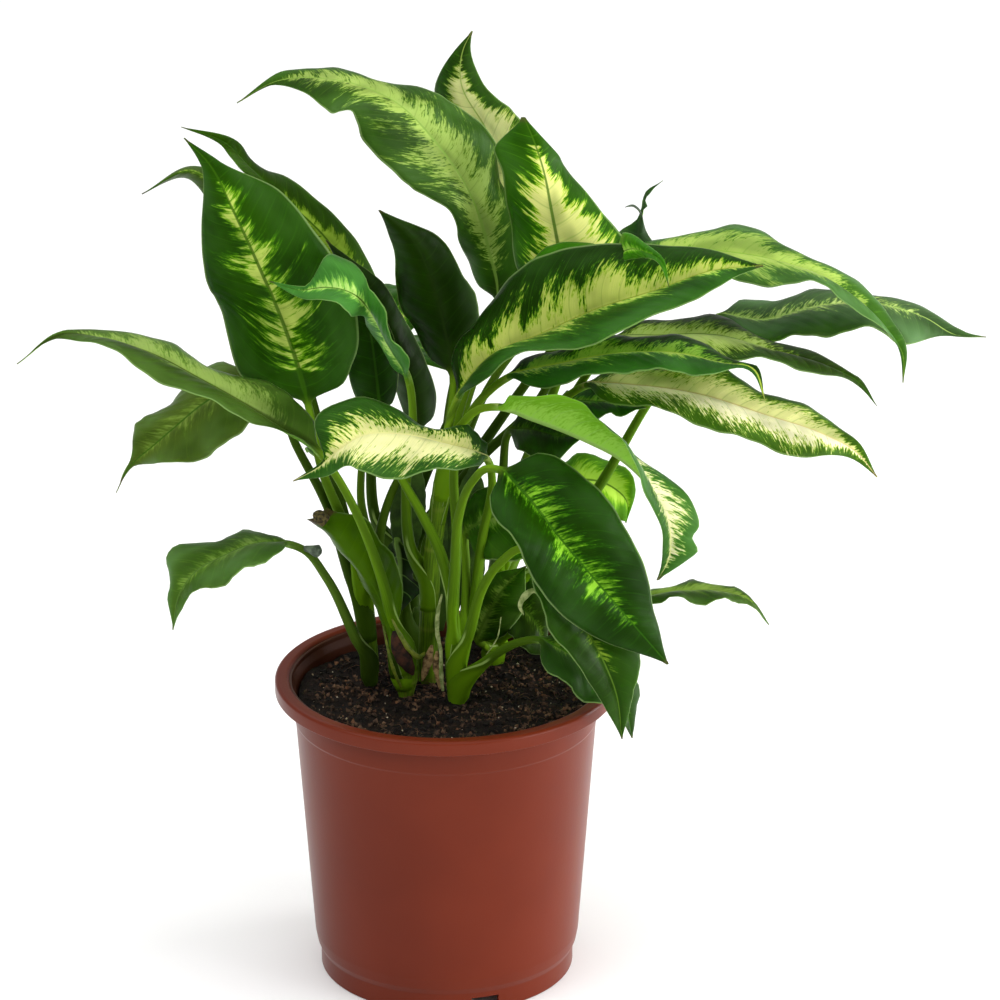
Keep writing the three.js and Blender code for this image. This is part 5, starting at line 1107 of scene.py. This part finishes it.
def notch_and_hole_cutters(material):
    corners = np.array([(x, y, z) for x in (-1, 1) for y in (-1, 1) for z in (-1, 1)], float)
    sides = [(0, 1, 3, 2), (4, 6, 7, 5), (0, 4, 5, 1), (2, 3, 7, 6), (0, 2, 6, 4), (1, 5, 7, 3)]
    points, cuts = [], []
    for degrees in NOTCH_ANGLES:
        c, s = math.cos(math.radians(degrees)), math.sin(math.radians(degrees))
        block = corners * (NOTCH_WIDTH / 2, 2 * FOOT_LIP + WALL / 2, NOTCH_HEIGHT) - (0, FOOT_RADIUS, 0)
        x, y, z = block.T
        cuts += [tuple(len(points) + v for v in side) for side in sides]
        points += np.stack([x * c - y * s, x * s + y * c, z], axis=1).tolist()
    for i in range(DRAIN_HOLES):
        angle = 2 * math.pi * (i + 0.5) / DRAIN_HOLES
        x, y = DRAIN_CIRCLE * math.cos(angle), DRAIN_CIRCLE * math.sin(angle)
        cuts += tube_faces(2, DRAIN_SIDES, len(points))
        for z in (0.5 * FLOOR_BOTTOM, 1.5 * FLOOR_TOP):
            for a in turns(DRAIN_SIDES):
                points.append((x + DRAIN_RADIUS * math.cos(a), y + DRAIN_RADIUS * math.sin(a), z))
    return make_object("cutters", points, cuts, material)


def build_pot():
    lip_bottom = POT_HEIGHT - LIP_HEIGHT
    profile = [
        (0, 0),
        (BOSS_RADIUS, 0),
        (BOSS_RADIUS, FLOOR_BOTTOM),
        (FOOT_RADIUS - FOOT_LIP - FOOT_DRAFT, FLOOR_BOTTOM),
        (FOOT_RADIUS - FOOT_LIP, 0),
        (FOOT_RADIUS, 0),
        (FOOT_RADIUS, FOOT_HEIGHT),
        (FOOT_RADIUS + FOOT_LIP, FOOT_HEIGHT + FOOT_FLARE),
        (WALL_FOOT_RADIUS, CORNER_HEIGHT),
        (WALL_STEP_RADIUS, STEP_HEIGHT - STEP_FLARE),
        (WALL_STEP_RADIUS + STEP_DEPTH, STEP_HEIGHT),
        (WALL_TOP_RADIUS, lip_bottom),
        (WALL_TOP_RADIUS + STEP_DEPTH, POT_HEIGHT - WALL),
        (RIM_RADIUS - WALL, POT_HEIGHT - WALL),
        (RIM_RADIUS - WALL, lip_bottom),
        (RIM_RADIUS, lip_bottom),
        (RIM_RADIUS, POT_HEIGHT - RIM_CHAMFER),
        (RIM_RADIUS - RIM_CHAMFER, POT_HEIGHT),
        (MOUTH_RADIUS + RIM_CHAMFER, POT_HEIGHT),
        (MOUTH_RADIUS, POT_HEIGHT - RIM_CHAMFER),
        (WALL_TOP_RADIUS - WALL, lip_bottom),
        (WALL_STEP_RADIUS - WALL, STEP_HEIGHT),
        (WALL_FOOT_RADIUS - WALL, CORNER_HEIGHT),
        (FOOT_RADIUS - WALL, FLOOR_TOP),
        (0, FLOOR_TOP),
    ]
    rings = round_corners(profile, CORNER_ROUNDING)[1:-1]
    circle = np.stack([np.cos(turns(POT_SIDES)), np.sin(turns(POT_SIDES))], axis=1)
    vertices = [(0, 0, 0), (0, 0, FLOOR_TOP)]
    for radius, height in rings:
        vertices += [(radius * x, radius * y, height) for x, y in circle]
    faces = strip_faces(len(rings), POT_SIDES, first=2)
    last = 2 + (len(rings) - 1) * POT_SIDES
    for i in range(POT_SIDES):
        j = (i + 1) % POT_SIDES
        faces += [(0, 2 + j, 2 + i), (1, last + i, last + j)]
    finish = pot_finish()
    pot = make_object("pot_fine", vertices, faces, finish)
    apply_cuts(pot, notch_and_hole_cutters(finish))
    pot.data.polygons.foreach_set("use_smooth", [True] * len(pot.data.polygons))
    pot.data.set_sharp_from_angle(angle=math.radians(SHARP_ANGLE))
    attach(pot, "root")
    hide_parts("pot")


# ---- canes -----------------------------------------------------------------------------------------
def build_cane(cane, finish, seed):
    rng = np.random.default_rng(seed)
    points = np.array(cane["points"], float)
    top = points[-1, 2]
    heights = np.linspace(points[0, 2], top, CANE_STEPS)
    middle = curve_at(points[:, 2], points, heights)
    rings = np.zeros(CANE_STEPS)
    at = SOIL_LEVEL + rng.uniform(*FIRST_RING)
    while at < top - CANE_DOME:
        rings += np.exp(-(((heights - at) / CANE_RING) ** 2))
        at += rng.uniform(*RING_GAP)
    dome = np.sqrt(np.clip(1 - ((heights - top + CANE_DOME) / CANE_DOME).clip(0) ** 2, 0.01, 1))
    radius = (cane_radius(cane, heights) + 0.25 * rings) * dome
    turn = turns(CANE_SIDES)
    lumps = 1 + CANE_LUMPS * np.sin(3 * turn[None, :] + 0.05 * heights[:, None] + seed)
    x = middle[:, :1] + radius[:, None] * lumps * np.cos(turn)
    y = middle[:, 1:2] + radius[:, None] * lumps * np.sin(turn)
    z = np.repeat(heights[:, None], CANE_SIDES, axis=1)
    vertices = np.stack([x, y, z], axis=2).reshape(-1, 3)
    made = make_object(cane["name"] + "_fine", vertices, tube_faces(CANE_STEPS, CANE_SIDES), finish)
    around = np.repeat((turn * cane["foot"])[None, :], CANE_STEPS, axis=0) + 40 * seed
    nearness = np.repeat(np.clip(rings, 0, 1)[:, None], CANE_SIDES, axis=1)
    add_attribute(made, "cane_mm", z - SOIL_LEVEL, around, nearness)
    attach(made, "root")
    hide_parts(cane["name"])


# ---- small parts among the stalks ------------------------------------------------------------------
def build_tube(name, finish, flat, rows):
    """A tube, flattened front to back, through points seen from the front: across, up, back, radius."""
    path = np.array([placed(*row[:3]) for row in rows])
    knots = lengths_along(path)
    at = np.linspace(0, knots[-1], max(8, round(knots[-1] / TUBE_STEP)))
    middle = curve_at(knots, path, at)
    radius = np.maximum(curve_at(knots, [[row[3]] for row in rows], at), 0.1)
    along = unit(np.gradient(middle, axis=0))
    across = unit(np.cross(SIGHT, along))
    front = np.cross(across, along)
    turn = turns(TUBE_SIDES)
    out = radius + np.minimum(0.08 * radius, 0.15) * np.sin(2 * turn[None, :] + 0.9 * at[:, None])
    vertices = (
        middle[:, None]
        + across[:, None] * (out * np.cos(turn))[..., None]
        + front[:, None] * (flat * out * np.sin(turn))[..., None]
    )
    faces = [f[::-1] for f in tube_faces(len(at), TUBE_SIDES)]
    made = make_object(name, vertices.reshape(-1, 3), faces, finish)
    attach(made, "root")


# ---- soil ------------------------------------------------------------------------------------------
def smooth_noise(x, y, cell, rng):
    """Value noise on a square grid with the given cell size."""
    grid = rng.uniform(-1, 1, (NOISE_CELLS, NOISE_CELLS))
    last = NOISE_CELLS - 1
    u, v = x / cell + last / 2, y / cell + last / 2
    i, j = np.floor(u).astype(int) % last, np.floor(v).astype(int) % last
    s, t = ease(u - np.floor(u), 0, 1), ease(v - np.floor(v), 0, 1)
    low = grid[i, j] * (1 - s) + grid[i + 1, j] * s
    high = grid[i, j + 1] * (1 - s) + grid[i + 1, j + 1] * s
    return low * (1 - t) + high * t


def soil_height(x, y):
    rng = np.random.default_rng(SEED)
    height = np.full_like(x, SOIL_LEVEL - 1.0)
    for cell, size in SOIL_SWELLS:
        height = height + size * smooth_noise(x, y, cell, rng)
    return height


def ground_at(x, y):
    return float(soil_height(np.array([x]), np.array([y]))[0])


def spot_within(reach, rng):
    distance = reach * math.sqrt(rng.uniform(0, 1))
    angle = rng.uniform(0, 2 * math.pi)
    return distance * math.cos(angle), distance * math.sin(angle)


def build_bed(radius):
    turn = turns(SOIL_SIDES)
    reach = radius * np.linspace(0.02, 1, SOIL_RINGS)
    x, y = reach[:, None] * np.cos(turn), reach[:, None] * np.sin(turn)
    top = np.stack([x, y, soil_height(x, y)], axis=2).reshape(-1, 3)
    skirt = np.stack([x[-1], y[-1], np.full(SOIL_SIDES, SOIL_LEVEL - SOIL_SKIRT)], axis=1)
    faces = [f[::-1] for f in tube_faces(SOIL_RINGS + 1, SOIL_SIDES)]
    bed = make_object("soil_bed", np.concatenate([top, skirt]), faces, soil_finish())
    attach(bed, "root")
    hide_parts("soil")


def build_lumps(name, count, small, large, finish, radius, rng):
    """Small squashed lumps that lie on the bed."""
    ball = np.array([(1, 0, 0), (-1, 0, 0), (0, 1, 0), (0, -1, 0), (0, 0, 1), (0, 0, -1)], float)
    sides = [(0, 2, 4), (2, 1, 4), (1, 3, 4), (3, 0, 4), (2, 0, 5), (1, 2, 5), (3, 1, 5), (0, 3, 5)]
    points, faces = [], []
    for _ in range(count):
        x, y = spot_within(radius - 3, rng)
        size = rng.uniform(small, large) * rng.uniform(0.5, 1.0, 3)
        spin, _ = np.linalg.qr(rng.normal(size=(3, 3)))
        if np.linalg.det(spin) < 0:
            spin[:, 0] *= -1
        lump = ball * rng.uniform(0.7, 1.2, (6, 1)) * size
        faces += [tuple(len(points) + v for v in side) for side in sides]
        points += (lump @ spin.T + (x, y, ground_at(x, y) + 0.2 * size[2])).tolist()
    made = make_object(name, points, faces, plain_finish(*finish), smooth=False)
    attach(made, "root")


def build_fibres(radius, rng):
    """Thin bent threads, each a three-sided tube."""
    points, faces = [], []
    for _ in range(FIBRES):
        at = np.array(spot_within(radius - 6, rng))
        heading = rng.uniform(0, 2 * math.pi)
        curl = rng.normal(0, 0.35)
        thick = rng.uniform(0.1, 0.22)
        steps = rng.integers(4, 8)
        faces += tube_faces(steps, 3, len(points))
        for k in range(steps):
            height = ground_at(*at) + FIBRE_ARC * math.sin(math.pi * k / (steps - 1))
            side = np.array([-math.sin(heading), math.cos(heading)])
            for a in (0.5, 2.6, 4.7):
                points.append((*(at + side * thick * math.cos(a)), height + thick * math.sin(a)))
            at = at + FIBRE_STEP * np.array([math.cos(heading), math.sin(heading)])
            heading += curl
            if np.hypot(*at) > radius - 2:
                at = at * (radius - 3) / np.hypot(*at)
    threads = make_object("soil_fibres", points, faces, plain_finish(*FIBRE_FINISH))
    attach(threads, "root")


def build_soil():
    rng = np.random.default_rng(SEED)
    radius = WALL_TOP_RADIUS - WALL - SOIL_GAP
    build_bed(radius)
    for name, (count, small, large, finish) in LUMPS.items():
        build_lumps(name, count, small, large, finish, radius, rng)
    build_fibres(radius, rng)


# ---- camera, light and floor -----------------------------------------------------------------------
def add_area(name, place, target, width, height, power):
    light = bpy.data.lights.new(name, "AREA")
    light.shape = "RECTANGLE"
    light.size, light.size_y = width, height
    light.energy = power
    made = bpy.data.objects.new(name, light)
    made.location = place
    x, y, z = np.array(target) - np.array(made.location)
    made.rotation_euler = (math.atan2(math.hypot(x, y), -z), 0, math.atan2(-x, y))
    bpy.context.scene.collection.objects.link(made)


def build_studio():
    scene = bpy.context.scene
    camera = bpy.data.cameras.new("camera")
    camera.lens = LENS
    camera.sensor_width = SENSOR
    camera.clip_end = 50
    seen = bpy.data.objects.new("camera", camera)
    seen.location = EYE * MM
    seen.rotation_euler = (math.pi / 2 - SIGHT_PITCH, 0, 0)
    scene.collection.objects.link(seen)
    scene.camera = seen

    world = bpy.data.worlds.new("studio")
    world.use_nodes = True
    background = world.node_tree.nodes["Background"]
    background.inputs["Color"].default_value = (1.0, 1.0, 1.0, 1)
    background.inputs["Strength"].default_value = WORLD_STRENGTH
    scene.world = world
    scene.view_settings.view_transform = "Standard"
    for name, lamp in LAMPS.items():
        add_area(name, *lamp)

    finish = Finish("floor")
    finish.set(Base_Color=finish.mix(finish.noise(finish.place(), 1.5, 2.0), *FLOOR_TONES))
    finish.set(Roughness=0.9, Specular_IOR_Level=0.1)
    corners = [(-1, -1), (1, -1), (1, 1), (-1, 1)]
    points = [(x * FLOOR_SIZE / 2, y * FLOOR_SIZE / 2, FLOOR_LEVEL) for x, y in corners]
    floor = make_object("floor", points, [(0, 1, 2, 3)], finish.material)


# ---- the whole plant -------------------------------------------------------------------------------
build_studio()
build_pot()
build_soil()
cane_green = cane_finish()
for number, cane in enumerate(CANES):
    build_cane(cane, cane_green, SEED + number)
feet = [placed(*leaf["stalk"][0])[2] for leaf in LEAVES]
for number, row in enumerate(LEAVES):
    leaf = {**LEAF_DEFAULTS, **row}
    above = [f for f, other in zip(feet, LEAVES) if other["cane"] == leaf["cane"] and f > feet[number]]
    build_leaf(leaf, CANES[leaf["cane"] - 1], len(above), SEED + 10 * number)
finishes = {key: plain_finish(*row) for key, row in SMALL_FINISHES.items()}
for name, finish, slot, flat, rows in SMALL_PARTS:
    build_tube(name, finishes[finish], flat, rows)
